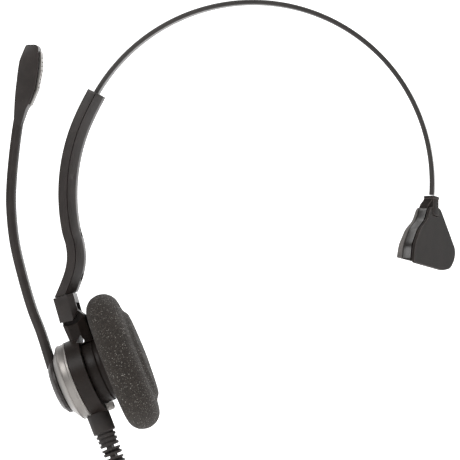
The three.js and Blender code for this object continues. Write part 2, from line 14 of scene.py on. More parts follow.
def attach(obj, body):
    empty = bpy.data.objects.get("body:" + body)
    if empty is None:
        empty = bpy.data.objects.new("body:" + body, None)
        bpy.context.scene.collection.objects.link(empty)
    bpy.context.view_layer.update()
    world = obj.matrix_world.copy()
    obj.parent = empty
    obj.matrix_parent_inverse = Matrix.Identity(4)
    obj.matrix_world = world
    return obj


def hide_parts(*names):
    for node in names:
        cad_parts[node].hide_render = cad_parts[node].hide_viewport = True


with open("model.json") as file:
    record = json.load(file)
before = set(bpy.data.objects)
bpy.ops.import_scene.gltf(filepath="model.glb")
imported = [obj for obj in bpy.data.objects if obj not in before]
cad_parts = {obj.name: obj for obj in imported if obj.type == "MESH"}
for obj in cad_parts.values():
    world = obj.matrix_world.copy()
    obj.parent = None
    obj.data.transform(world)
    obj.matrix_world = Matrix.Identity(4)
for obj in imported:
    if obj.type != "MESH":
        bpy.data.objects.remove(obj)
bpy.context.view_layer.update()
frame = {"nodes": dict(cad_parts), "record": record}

MM = 0.001
log = logging.getLogger("headset")

Pair = tuple[float, float]
Triple = tuple[float, float, float]


class Body(str, Enum):
    """The bodies of the frame that pieces ride on."""

    HEADBAND = "headband"
    ARM = "slider_arm"
    CUP = "ear_cup"
    BOOM = "boom"
    TEMPLE = "temple_pad"


class Slot(str, Enum):
    """The material slots of the record."""

    SPRING = "spring_steel"
    SATIN = "satin_black"
    GLOSS = "gloss_black"
    SILVER = "silver_paint"
    STEEL = "steel"
    FOAM = "foam"
    RUBBER = "soft_rubber"
    BOARD = "circuit_board"
    FILM = "film"
    FELT = "felt"
    BRASS = "brass"


class Cut(str, Enum):
    """What a boolean does with its tool."""

    TAKE = "DIFFERENCE"
    ADD = "UNION"
    KEEP = "INTERSECT"


# ---- shader maths ----------------------------------------------------------------------------


class Val:
    """A number that travels through a node tree, with Python's own arithmetic."""

    def __init__(self, graph: "Graph", socket: bpy.types.NodeSocket) -> None:
        """Wraps an output socket of one graph."""
        self.graph = graph
        self.socket = socket

    def _math(self, operation: str, first: "Number", second: "Number" = 0.0) -> "Val":
        """The result of a Math node on two numbers or links."""
        made = self.graph.node("ShaderNodeMath", {"operation": operation}, {0: first, 1: second})
        return Val(self.graph, made.outputs[0])

    def __add__(self, other: "Number") -> "Val":
        """self + other."""
        return self._math("ADD", self, other)

    def __sub__(self, other: "Number") -> "Val":
        """self - other."""
        return self._math("SUBTRACT", self, other)

    def __rsub__(self, other: "Number") -> "Val":
        """other - self."""
        return self._math("SUBTRACT", other, self)

    def __mul__(self, other: "Number") -> "Val":
        """self * other."""
        return self._math("MULTIPLY", self, other)

    __radd__ = __add__
    __rmul__ = __mul__

    def smooth(self, low: float, high: float) -> "Val":
        """0 below low, 1 above high, with a soft rise between.

        Args:
            low: Where the rise starts.
            high: Where the rise ends.

        Returns:
            The eased value.
        """
        made = self.graph.node(
            "ShaderNodeMapRange",
            {"interpolation_type": "SMOOTHSTEP"},
            {"Value": self, "From Min": low, "From Max": high},
        )
        return Val(self.graph, made.outputs[0])


Number = Union[Val, float]
Link = Union[Val, bpy.types.NodeSocket, float, Sequence[float]]


class Graph:
    """A material's node tree under construction."""

    def __init__(self, name: str) -> None:
        """Starts an empty material."""
        self.material = bpy.data.materials.new(name)
        self.material.use_nodes = True
        self.tree = self.material.node_tree
        self.tree.nodes.clear()

    def node(self, kind: str, settings: dict[str, object], values: dict[object, Link]) -> bpy.types.Node:
        """Adds any node.

        Args:
            kind: The node's type.
            settings: Its properties, set before its sockets.
            values: Numbers or links for its input sockets, by name or place.

        Returns:
            The new node.
        """
        made = self.tree.nodes.new(kind)
        for key, value in settings.items():
            setattr(made, key, value)
        for key, value in values.items():
            socket = made.inputs[key]
            if isinstance(value, Val):
                self.tree.links.new(value.socket, socket)
            elif isinstance(value, bpy.types.NodeSocket):
                self.tree.links.new(value, socket)
            else:
                socket.default_value = value
        return made

    def place(self, stretch: Triple = (1, 1, 1), centre: Triple = (0, 0, 0), turn: float = 0.0
              ) -> bpy.types.NodeSocket:
        """The surface point in millimetres, about a centre.

        Args:
            stretch: Scale of each axis, after turning.
            centre: The pattern's centre in millimetres.
            turn: Turn of the pattern about Y, in degrees.

        Returns:
            The point's socket.
        """
        coords = self.node("ShaderNodeTexCoord", {}, {})
        scaled = self.node(
            "ShaderNodeVectorMath", {"operation": "SCALE"}, {0: coords.outputs["Object"], "Scale": 1 / MM}
        )
        moved = self.node(
            "ShaderNodeVectorMath", {"operation": "SUBTRACT"}, {0: scaled.outputs[0], 1: centre}
        )
        mapped = self.node(
            "ShaderNodeMapping",
            {},
            {"Vector": moved.outputs[0], "Rotation": (0, math.radians(turn), 0), "Scale": stretch},
        )
        return mapped.outputs[0]

    def noise(self, where: bpy.types.NodeSocket, size: float, detail: float = 3, rough: float = 0.5) -> Val:
        """Noise with features of a size in millimetres, from 0 to 1."""
        made = self.node(
            "ShaderNodeTexNoise",
            {},
            {"Vector": where, "Scale": 1 / size, "Detail": detail, "Roughness": rough},
        )
        return Val(self, made.outputs["Fac"])

    def cells(self, where: bpy.types.NodeSocket, size: float, feature: str = "F1") -> bpy.types.Node:
        """A Voronoi pattern with cells of a size in millimetres."""
        return self.node("ShaderNodeTexVoronoi", {"feature": feature}, {"Vector": where, "Scale": 1 / size})

    def blend(self, factor: Number, first: Link, second: Link) -> bpy.types.NodeSocket:
        """A mix of two colours or links: 0 gives the first, 1 the second."""
        made = self.node("ShaderNodeMix", {"data_type": "RGBA"}, {"Factor": factor, 6: first, 7: second})
        return made.outputs[2]

    def edges(self, radius: float) -> Val:
        """How far the surface is turned by rounding its edges.

        Args:
            radius: The rounding in millimetres.

        Returns:
            0 on flat ground, 1 on a sharp edge.
        """
        soft = self.node("ShaderNodeBevel", {"samples": 4}, {"Radius": radius * MM})
        flat = self.node("ShaderNodeNewGeometry", {}, {})
        dot = self.node(
            "ShaderNodeVectorMath",
            {"operation": "DOT_PRODUCT"},
            {0: soft.outputs[0], 1: flat.outputs["Normal"]},
        )
        return (1 - Val(self, dot.outputs["Value"])).smooth(0.004, 0.16)

    def bump(self, height: Val, depth: float, strength: float = 1.0) -> bpy.types.NodeSocket:
        """A normal that follows a height from 0 to 1, depth millimetres deep."""
        values = {"Height": height, "Distance": depth * MM, "Strength": strength}
        made = self.node("ShaderNodeBump", {}, values)
        return made.outputs[0]

    def shade(self, values: dict[object, Link]) -> bpy.types.Material:
        """Ends the material with a Principled shader.

        Args:
            values: Numbers or links for the shader's sockets.

        Returns:
            The finished material.
        """
        shader = self.node("ShaderNodeBsdfPrincipled", {}, values)
        self.node("ShaderNodeOutputMaterial", {}, {"Surface": shader.outputs[0]})
        return self.material


def tint(value: Triple, scale: float = 1.0) -> tuple[float, float, float, float]:
    """A linear colour with alpha, scaled."""
    return (value[0] * scale, value[1] * scale, value[2] * scale, 1.0)


# ---- finishes --------------------------------------------------------------------------------


@dataclass(frozen=True)
class Moulded:
    """Moulded plastic with a fine spark-eroded grain, a little dust and a painted highlight along its edges.
    """

    name: str
    colour: Triple
    roughness: float = 0.42
    grain: float = 0.22
    depth: float = 0.012
    # Strength of the painted highlight along the edges.
    edge_highlight: float = 2.4
    specular: float = 0.2

    def build(self) -> bpy.types.Material:
        """Makes the material."""
        g = Graph(self.name)
        where = g.place()
        mottle = g.noise(where, 7.0, 4, 0.6)
        grain = g.noise(where, self.grain, 2, 0.6)
        dust = g.noise(where, 0.9, 5, 0.75).smooth(0.62, 0.8)
        edge = g.edges(0.35)
        base = g.blend(mottle.smooth(0.3, 0.7), tint(self.colour, 0.8), tint(self.colour, 1.2))
        dusty = g.blend(dust * 0.12, base, tint((0.3, 0.29, 0.27)))
        # Painted highlight: the rounded edges are blended towards a brighter copy of the colour.
        edge_highlight = g.blend(edge * (0.35 + 0.5 * mottle), dusty, tint(self.colour, self.edge_highlight))
        rough = self.roughness + 0.12 * (mottle - 0.5) + 0.1 * dust - 0.1 * edge
        return g.shade(
            {
                "Base Color": edge_highlight,
                "Roughness": rough,
                "Specular IOR Level": self.specular,
                "Normal": g.bump(grain, self.depth),
            }
        )


@dataclass(frozen=True)
class Gloss:
    """Polished plastic with faint wiping marks and a painted highlight along its edges."""

    name: str
    colour: Triple
    roughness: float = 0.16
    coat: float = 0.3
    specular: float = 0.4

    def build(self) -> bpy.types.Material:
        """Makes the material."""
        g = Graph(self.name)
        wipes = g.noise(g.place((1, 4, 0.6)), 3.0, 5, 0.7)
        ripple = g.noise(g.place(), 5.0, 2, 0.4)
        base = g.blend(wipes.smooth(0.35, 0.75), tint(self.colour, 0.85), tint(self.colour, 1.3))
        edge = g.edges(0.3)
        return g.shade(
            {
                # Painted highlight: the edges are blended towards four times the colour.
                "Base Color": g.blend(edge * 0.5, base, tint(self.colour, 4.0)),
                "Roughness": self.roughness + 0.12 * wipes.smooth(0.5, 0.8),
                "Coat Weight": self.coat - 0.4 * self.coat * wipes,
                "Specular IOR Level": self.specular,
                "Normal": g.bump(ripple, 0.03),
            }
        )


@dataclass(frozen=True)
class Coated:
    """Spring steel under thin black paint, drawn lengthwise; at its edges the paint is scuffed to bare metal,
    and a painted highlight lightens them too.
    """

    name: str
    colour: Triple
    bare: Triple = (0.34, 0.33, 0.31)

    def build(self) -> bpy.types.Material:
        """Makes the material."""
        g = Graph(self.name)
        drawn = g.noise(g.place((0.25, 6, 0.25)), 1.2, 4, 0.7)
        patches = g.noise(g.place(), 9.0, 4, 0.6)
        edge = g.edges(0.28)
        # Scuffed bare metal and a painted highlight share this edge mask: it lightens the colour, raises the
        # metallic and lowers the roughness there.
        wear_and_highlight = edge * patches.smooth(0.35, 0.7)
        base = g.blend(drawn, tint(self.colour, 0.8), tint(self.colour, 1.35))
        return g.shade(
            {
                "Base Color": g.blend(wear_and_highlight * 0.3, base, tint(self.bare)),
                "Metallic": 0.25 + 0.4 * wear_and_highlight,
                "Roughness": 0.36 + 0.14 * (drawn - 0.5) - 0.06 * wear_and_highlight,
                "Specular IOR Level": 0.45,
                "Normal": g.bump(drawn, 0.012),
            }
        )


@dataclass(frozen=True)
class Metal:
    """Metal or metallic paint with a fine texture that can be stretched along one way, and a painted
    highlight along its edges.
    """

    name: str
    colour: Triple
    roughness: float = 0.3
    metallic: float = 1.0
    stretch: Triple = (1, 1, 1)
    turn: float = 0.0
    size: float = 0.25
    depth: float = 0.006

    def build(self) -> bpy.types.Material:
        """Makes the material."""
        g = Graph(self.name)
        fine = g.noise(g.place(self.stretch, turn=self.turn), self.size, 3, 0.65)
        broad = g.noise(g.place(), 6.0, 4, 0.6)
        edge = g.edges(0.25)
        base = g.blend(fine, tint(self.colour, 0.86), tint(self.colour, 1.1))
        stained = g.blend(broad.smooth(0.5, 0.8) * 0.25, base, tint(self.colour, 0.6))
        return g.shade(
            {
                # Painted highlight: the edges are blended towards a brighter copy of the colour.
                "Base Color": g.blend(edge * 0.4, stained, tint(self.colour, 1.45)),
                "Metallic": self.metallic,
                "Roughness": self.roughness + 0.16 * (fine - 0.5) + 0.08 * (broad - 0.5),
                "Normal": g.bump(fine, self.depth),
            }
        )


@dataclass(frozen=True)
class Foam:
    """Open-cell foam: torn cells in bump, painted shade in the pores and a painted glint on a few cell walls.
    """

    name: str
    colour: Triple
    cell: float = 0.62

    def build(self) -> bpy.types.Material:
        """Makes the material."""
        g = Graph(self.name)
        where = g.place()
        walls = Val(g, g.cells(where, self.cell, "DISTANCE_TO_EDGE").outputs["Distance"])
        small = Val(g, g.cells(where, self.cell * 0.42, "DISTANCE_TO_EDGE").outputs["Distance"])
        pores = walls.smooth(0.02, 0.32)
        fine = small.smooth(0.0, 0.3)
        torn = g.noise(where, 0.5, 5, 0.75)
        broad = g.noise(where, 8.0, 3, 0.55)
        open_cell = g.cells(where, self.cell * 0.85)
        spot = 1 - Val(g, open_cell.outputs["Distance"]).smooth(0.2, 0.45)
        pick = Val(g, open_cell.outputs["Color"])
        # Painted glint: a few small spots on the cell walls are lightened and made shinier.
        glint = (pick.smooth(0.5, 0.7) * 0.2 + pick.smooth(0.76, 0.82) * 0.35) * spot
        height = (1 - pores) * 0.6 + (1 - fine) * 0.25 + torn * 0.35
        # Painted shade: the colour is darker in the hollows of the height and lighter on its tops.
        shadow = g.blend(height.smooth(0.25, 0.95), tint(self.colour, 0.3), tint(self.colour, 1.7))
        aged = g.blend(broad.smooth(0.35, 0.7) * 0.35, shadow, tint(self.colour, 0.75))
        return g.shade(
            {
                "Base Color": g.blend(glint, aged, tint((0.3, 0.285, 0.26))),
                "Roughness": 0.95 - 0.45 * glint,
                "Specular IOR Level": 0.25,
                "Normal": g.bump(height, 0.3, 0.85),
            }
        )


@dataclass(frozen=True)
class Rubber:
    """Soft moulded rubber: matt, finely pebbled, with a bloom in its hollows and a painted highlight along
    its edges.
    """

    name: str
    colour: Triple
    roughness: float = 0.62

    def build(self) -> bpy.types.Material:
        """Makes the material."""
        g = Graph(self.name)
        where = g.place()
        pebble = g.noise(where, 0.16, 3, 0.6)
        bloom = g.noise(where, 4.0, 5, 0.7)
        base = g.blend(bloom.smooth(0.35, 0.75), tint(self.colour, 0.85), tint(self.colour, 1.4))
        edge = g.edges(0.3)
        return g.shade(
            {
                # Painted highlight: the edges are blended towards three times the colour.
                "Base Color": g.blend(edge * 0.3, base, tint(self.colour, 3.0)),
                "Roughness": self.roughness + 0.2 * (bloom - 0.5),
                "Specular IOR Level": 0.22,
                "Normal": g.bump(pebble, 0.018),
            }
        )


@dataclass(frozen=True)
class Fibre:
    """Pressed felt: matted fibres and small pills."""

    name: str
    colour: Triple

    def build(self) -> bpy.types.Material:
        """Makes the material."""
        g = Graph(self.name)
        along = g.noise(g.place((1, 9, 1)), 1.1, 6, 0.8)
        across = g.noise(g.place((9, 1, 2)), 1.1, 6, 0.8)
        mat = along * 0.5 + across * 0.5
        return g.shade(
            {
                "Base Color": g.blend(mat.smooth(0.35, 0.65), tint(self.colour, 0.6), tint(self.colour, 1.3)),
                "Roughness": 0.95,
                "Sheen Weight": 0.3,
                "Normal": g.bump(mat, 0.12),
            }
        )


@dataclass(frozen=True)
class Board:
    """A circuit board: solder resist over tracks, with tinned pads."""

    name: str
    colour: Triple

    def build(self) -> bpy.types.Material:
        """Makes the material."""
        g = Graph(self.name)
        where = g.place((1, 1, 1), (-68, 0, -149), 21.5)
        cells = g.cells(where, 2.4)
        pads = 1 - Val(g, cells.outputs["Distance"]).smooth(0.16, 0.2)
        tracks = g.noise(g.place((1, 6, 1)), 2.0, 1, 0.3).smooth(0.5, 0.54)
        resist = g.blend(tracks, tint(self.colour, 0.8), tint(self.colour, 1.35))
        return g.shade(
            {
                "Base Color": g.blend(pads, resist, tint((0.6, 0.58, 0.55))),
                "Metallic": pads * 0.9,
                "Roughness": 0.35 - 0.05 * pads,
                "Normal": g.bump(tracks * 0.5 + pads * 0.5, 0.04),
            }
        )


# ---- the bench -------------------------------------------------------------------------------


def metres(point: Iterable[float]) -> Vector:
    """A point in millimetres as a vector in metres."""
    return Vector(point) * MM


def polar(centre: Pair, radius: float, degrees: float) -> Pair:
    """A point on a circle, its angle measured from the first axis towards the second."""
    angle = math.radians(degrees)
    return (centre[0] + radius * math.cos(angle), centre[1] + radius * math.sin(angle))


def rounded(corners: Sequence[Pair], radius: float, steps: int = 4) -> list[Pair]:
    """Rounds the corners of a closed outline.

    Args:
        corners: The outline's corners.
        radius: The rounding's reach along each side, kept under 0.45 of the side.
        steps: Points to a corner, less one.

    Returns:
        The outline with each corner as a small curve.
    """
    made: list[Pair] = []
    for index, corner in enumerate(corners):
        here = Vector(corner)
        before = Vector(corners[index - 1]) - here
        after = Vector(corners[(index + 1) % len(corners)]) - here
        first = here + before.normalized() * min(radius, 0.45 * before.length)
        last = here + after.normalized() * min(radius, 0.45 * after.length)
        for step in range(steps + 1):
            t = step / steps
            point = first * (1 - t) ** 2 + here * 2 * t * (1 - t) + last * t**2
            made.append((point.x, point.y))
    return made


def smooth_line(points: Sequence[Triple], steps: int) -> list[Vector]:
    """A centripetal curve through points.

    Args:
        points: The points it passes through.
        steps: How many pieces to cut it into.

    Returns:
        The points along it, in the unit they came in.
    """
    knots = [Vector(p) for p in points]
    spans = len(knots) - 1
    made = []
    for step in range(steps + 1):
        place = step / steps * spans
        index = min(int(place), spans - 1)
        t = place - index
        p1, p2 = knots[index], knots[index + 1]
        p0 = knots[index - 1] if index else p1 * 2 - p2
        p3 = knots[index + 2] if index + 2 < len(knots) else p2 * 2 - p1
        d0, d1, d2 = ((b - a).length ** 0.5 for a, b in ((p0, p1), (p1, p2), (p2, p3)))
        m1 = ((p1 - p0) / d0 - (p2 - p0) / (d0 + d1) + (p2 - p1) / d1) * d1
        m2 = ((p2 - p1) / d1 - (p3 - p1) / (d1 + d2) + (p3 - p2) / d2) * d1
        made.append(
            p1 + m1 * t + (p1 * -3 + p2 * 3 - m1 * 2 - m2) * t**2 + (p1 * 2 - p2 * 2 + m1 + m2) * t**3
        )
    return made


def outwards(line: Sequence[Vector]) -> list[Vector]:
    """The way to the left-hand outside of each point of a line in the plane of X and Z.

    Args:
        line: The line's points.

    Returns:
        A unit vector for each point.
    """
    made = []
    for index in range(len(line)):
        run = line[min(index + 1, len(line) - 1)] - line[max(index - 1, 0)]
        made.append(Vector((run.z, 0, -run.x)).normalized())
    return made


class Work:
    """A mesh on the bench: one point of a primitive, drawn out and shaped in edit mode.

    Sizes come in millimetres.
    """

    def __init__(
        self, name: str, points: Sequence[Triple], closed: bool = True, hollow: bool = False
    ) -> None:
        """Draws an outline, and fills it if it is closed.

        Args:
            name: The piece's name.
            points: The outline's points in order.
            closed: Whether its last point joins its first.
            hollow: Whether a closed outline keeps no face.
        """
        if bpy.context.mode != "OBJECT":
            bpy.ops.object.mode_set(mode="OBJECT")
        bpy.ops.object.select_all(action="DESELECT")
        bpy.ops.mesh.primitive_plane_add(size=MM, location=metres(points[0]))
        self.piece = bpy.context.object
        self.piece.name = name
        self.piece.data.name = name
        bpy.ops.object.transform_apply(location=True, rotation=True, scale=True)
        self._edit()
        bpy.ops.mesh.merge(type="CENTER")
        for start, end in zip(points, points[1:]):
            step = metres(end) - metres(start)
            bpy.ops.mesh.extrude_vertices_move(TRANSFORM_OT_translate={"value": tuple(step)})
        bpy.ops.mesh.select_all(action="SELECT")
        if closed:
            bpy.ops.mesh.edge_face_add()
            if hollow:
                bpy.ops.mesh.delete(type="ONLY_FACE")
            bpy.ops.mesh.select_all(action="SELECT")

    def _edit(self) -> None:
        """Makes this the one selected piece, in edit mode."""
        self._object()
        bpy.ops.object.mode_set(mode="EDIT")

    def _object(self) -> None:
        """Makes this the one selected piece, in object mode."""
        if bpy.context.mode != "OBJECT":
            bpy.ops.object.mode_set(mode="OBJECT")
        bpy.ops.object.select_all(action="DESELECT")
        self.piece.select_set(True)
        bpy.context.view_layer.objects.active = self.piece

    def push(self, step: Triple) -> "Work":
        """Extrudes what is selected by a step."""
        bpy.ops.mesh.extrude_region_move(TRANSFORM_OT_translate={"value": tuple(metres(step))})
        return self

    def turn(self, degrees: float, centre: Triple, axis: str = "Y") -> "Work":
        """Turns what is selected.

        Args:
            degrees: How far, by the right hand.
            centre: A point on the axis.
            axis: The axis's letter.

        Returns:
            The work.
        """
        angle = -math.radians(degrees)
        bpy.ops.transform.rotate(
            value=angle, orient_axis=axis, orient_type="GLOBAL", center_override=metres(centre)
        )
        return self

    def swell(self, scale: Triple, centre: Triple) -> "Work":
        """Scales what is selected about a centre."""
        bpy.ops.transform.resize(value=scale, orient_type="GLOBAL", center_override=metres(centre))
        return self

    def spin(self, axis: Triple, degrees: float, steps: int, centre: Triple = (0, 0, 0)) -> "Work":
        """Sweeps everything round an axis, by the right hand, and closes a full turn.

        Args:
            axis: The axis.
            degrees: How far.
            steps: In how many steps.
            centre: A point on the axis.

        Returns:
            The work.
        """
        bpy.ops.mesh.select_all(action="SELECT")
        bpy.ops.mesh.spin(steps=steps, angle=-math.radians(degrees), center=metres(centre), axis=axis)
        return self.close()

    def close(self) -> "Work":
        """Merges doubles and points every face outwards."""
        bpy.ops.mesh.select_all(action="SELECT")
        bpy.ops.mesh.remove_doubles(threshold=1e-6)
        bpy.ops.mesh.normals_make_consistent(inside=False)
        return self

    def bisect(self, point: Triple, normal: Triple) -> "Work":
        """Cuts off what lies on the normal's side of a plane and closes the cut.

        Args:
            point: A point of the plane.
            normal: Its normal.

        Returns:
            The work.
        """
        self._edit()
        bpy.ops.mesh.select_all(action="SELECT")
        way = Vector(normal).normalized()
        bpy.ops.mesh.bisect(plane_co=metres(point), plane_no=way, use_fill=True, clear_outer=True)
        return self.close()

    def boolean(self, tool: "Work", how: Cut = Cut.TAKE) -> "Work":
        """Joins this piece with another, which is used up.

        Args:
            tool: The other piece.
            how: Whether it is cut away, added, or kept where they share.

        Returns:
            The work.
        """
        tool._object()
        self._object()
        step = self.piece.modifiers.new("Boolean", "BOOLEAN")
        step.operation = how.value
        step.solver = "EXACT"
        step.object = tool.piece
        bpy.ops.object.modifier_apply(modifier=step.name)
        bpy.data.objects.remove(tool.piece)
        return self

    def bevel(self, width: float, segments: int = 3, limit: float = 30) -> "Work":
        """Rounds sharp edges.

        Args:
            width: The rounding in millimetres.
            segments: Its steps.
            limit: Edges over this many degrees are rounded.

        Returns:
            The work.
        """
        self._object()
        step = self.piece.modifiers.new("Bevel", "BEVEL")
        step.width = width * MM
        step.segments = segments
        step.limit_method = "ANGLE"
        step.angle_limit = math.radians(limit)
        step.miter_outer = "MITER_ARC"
        bpy.ops.object.modifier_apply(modifier=step.name)
        return self

    def stand(self, matrix: Matrix) -> "Work":
        """Puts the piece in place and keeps its object at the origin.

        Args:
            matrix: Where it goes, in metres.

        Returns:
            The work.
        """
        self._object()
        self.piece.matrix_world = matrix @ self.piece.matrix_world
        bpy.ops.object.transform_apply(location=True, rotation=True, scale=True)
        return self

    def copy(self, name: str) -> "Work":
        """The same piece again, with its own mesh.

        Args:
            name: The new piece's name.

        Returns:
            The new work.
        """
        self._object()
        bpy.ops.object.duplicate(linked=False)
        twin = Work.__new__(Work)
        twin.piece = bpy.context.object
        twin.piece.name = name
        twin.piece.data.name = name
        return twin

    def finish(self, material: bpy.types.Material, smooth: float = 32) -> bpy.types.Object:
        """Merges, smooths and dresses the piece.

        Args:
            material: Its material.
            smooth: Edges sharper than this many degrees stay sharp.

        Returns:
            The finished object.
        """
        self._edit()
        self.close()
        self._object()
        bpy.ops.object.shade_smooth_by_angle(angle=math.radians(smooth))
        self.piece.data.materials.clear()
        self.piece.data.materials.append(material)
        return self.piece

    def fit(self, palette: "Palette", body: Body, slot: Slot, *nodes: str) -> bpy.types.Object:
        """Finishes the piece in its slot's shared material and fastens it to its body."""
        return settle(self.finish(palette.of(slot)), body, slot, *nodes)


def turned(name: str, profile: Sequence[Pair], steps: int = 96, ring: bool = False) -> Work:
    """A piece turned about Z from [radius, height] points; a ring's section is closed and off the axis."""
    made = Work(name, [(r, 0, z) for r, z in profile], closed=ring, hollow=True)
    return made.spin((0, 0, 1), 360, steps)


def slab(name: str, outline: Sequence[Pair], low: float, high: float) -> Work:
    """An outline in X and Z, pushed along Y from low to high."""
    made = Work(name, [(x, low, z) for x, z in outline])
    return made.push((0, high - low, 0)).close()


def plate(name: str, outline: Sequence[Pair], low: float, high: float) -> Work:
    """An outline in Y and Z, pushed along X from low to high."""
    made = Work(name, [(low, y, z) for y, z in outline])
    return made.push((high - low, 0, 0)).close()


def block(name: str, low: Triple, high: Triple) -> Work:
    """A square-cornered block between two corners."""
    (x0, y0, z0), (x1, y1, z1) = low, high
    made = Work(name, [(x0, y0, z0), (x1, y0, z0), (x1, y1, z0), (x0, y1, z0)])
    return made.push((0, 0, z1 - z0)).close()


def rod(name: str, radius: float, low: Triple, high: Triple, steps: int = 32) -> Work:
    """A round bar.

    Args:
        name: Its name.
        radius: Its radius.
        low: The middle of its first end, in millimetres.
        high: The middle of its other end.
        steps: Sides to its round.

    Returns:
        The work.
    """
    way = Vector(high) - Vector(low)
    made = turned(name, [(0, 0), (radius, 0), (radius, way.length), (0, way.length)], steps)
    turn = Vector((0, 0, 1)).rotation_difference(way).to_matrix().to_4x4()
    return made.stand(Matrix.Translation(metres(low)) @ turn)


def sweep(name: str, section: Sequence[Pair], line: Sequence[Vector]) -> Work:
    """A section drawn along a line in the plane of X and Z.

    Args:
        name: The piece's name.
        section: Its [towards -Y, outwards] points.
        line: The line's points.

    Returns:
        The work.
    """
    ways = outwards(line)
    start = [line[0] + Vector((0, -a, 0)) + ways[0] * b for a, b in section]
    made = Work(name, [tuple(p) for p in start])
    for index in range(1, len(line)):
        made.push(tuple(line[index] - line[index - 1]))
        angle = math.degrees(
            math.atan2(ways[index].x, ways[index].z) - math.atan2(ways[index - 1].x, ways[index - 1].z)
        )
        made.turn((angle + 180) % 360 - 180, tuple(line[index]))
    return made.close()


def settle(piece: bpy.types.Object, body: Body, slot: Slot, *nodes: str) -> bpy.types.Object:
    """Fastens a finished piece to its body and reports it.

    Args:
        piece: The finished object.
        body: The body it rides on.
        slot: A material slot of the record; not used.
        nodes: The frame's nodes it stands for.

    Returns:
        The piece.
    """
    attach(piece, body.value)
    if nodes:
        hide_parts(*nodes)
    log.info("%s: %d faces on %s", piece.name, len(getattr(piece.data, "polygons", ())), body.value)
    return piece


# ---- the headset -----------------------------------------------------------------------------

ARC_CENTRE = (0.0, -71.65)
ARC_RADIUS = 72.5
PIVOT = (-73.2, -122.6)
CUP_CENTRE = (-58.3, -145.5)
CUP_TILT = 68.5
CUP_MATRIX = Matrix.Translation(metres((CUP_CENTRE[0], 0, CUP_CENTRE[1]))) @ Matrix.Rotation(
    math.radians(CUP_TILT), 4, "Y"
)
TEMPLE_MATRIX = (
    Matrix.Translation(metres((72.2, 0, -77.3)))
    @ Matrix.Rotation(math.radians(-4.5), 4, "X")
    @ Matrix.Rotation(math.radians(-17.3), 4, "Z")
)
SLEEVE_BASE = (16.3, -10.0)
PIN_BORE = 1.3
PAD_BOTTOM = ((1.7, 0, -28.3), (-0.26, 0, -0.966))
FACING = (math.sin(math.radians(CUP_TILT)), math.cos(math.radians(CUP_TILT)))


def from_cup(along: float, depth: float) -> Pair:
    """A point of the cup's own frame in the headset's X and Z."""
    return (
        CUP_CENTRE[0] + along * FACING[1] + depth * FACING[0],
        CUP_CENTRE[1] - along * FACING[0] + depth * FACING[1],
    )


def to_cup(x: float, z: float) -> Pair:
    """A point of the headset's X and Z in the cup's own frame."""
    dx, dz = x - CUP_CENTRE[0], z - CUP_CENTRE[1]
    return (dx * FACING[1] - dz * FACING[0], dx * FACING[0] + dz * FACING[1])


def bar(across: float, high: float, corner: float) -> list[Pair]:
    """A rectangle by its half sizes with its corners cut off."""
    box = [(across, -high), (across, high), (-across, high), (-across, -high)]
    return rounded(box, corner, 3)


@dataclass
class Palette:
    """The shared finishes, made once, by material slot."""

    made: dict[Slot, bpy.types.Material] = field(default_factory=dict)

    def build(self) -> None:
        """Makes the materials."""
        finishes = {
            Slot.SPRING: Coated("coated spring", (0.016, 0.014, 0.013)),
            Slot.SATIN: Moulded("satin black", (0.0125, 0.0098, 0.0088)),
            Slot.GLOSS: Gloss("polished black", (0.008, 0.0066, 0.006), 0.2, 0.12, 0.2),
            Slot.SILVER: Metal("silver paint", (0.155, 0.145, 0.136), 0.42, 0.8, (1, 1, 1), 0, 0.3, 0.004),
            Slot.STEEL: Metal("bright steel", (0.58, 0.57, 0.55), 0.26, 1.0, (1, 5, 1), 0, 0.4),
            Slot.FOAM: Foam("ear foam", (0.0135, 0.0108, 0.0088)),
            Slot.RUBBER: Rubber("soft rubber", (0.0115, 0.0092, 0.0082)),
            Slot.BOARD: Board("terminal board", (0.012, 0.1, 0.045)),
            Slot.FILM: Gloss("cone film", (0.52, 0.46, 0.32), 0.3),
            Slot.FELT: Fibre("damping felt", (0.2, 0.18, 0.16)),
            Slot.BRASS: Metal("contact brass", (0.62, 0.43, 0.17), 0.25, 1.0, (1, 1, 4), 0, 0.3),
        }
        for slot, finish in finishes.items():
            self.made[slot] = finish.build()

    def of(self, slot: Slot) -> bpy.types.Material:
        """The material of a slot."""
        return self.made[slot]

    def dress_frame(self) -> None:
        """Gives every node of the frame the finish of its slot."""
        for row in frame["record"]["subparts"]:
            node = frame["nodes"][row["node"]]
            node.data.materials.clear()
            node.data.materials.append(self.of(Slot(row["material_slot"])))


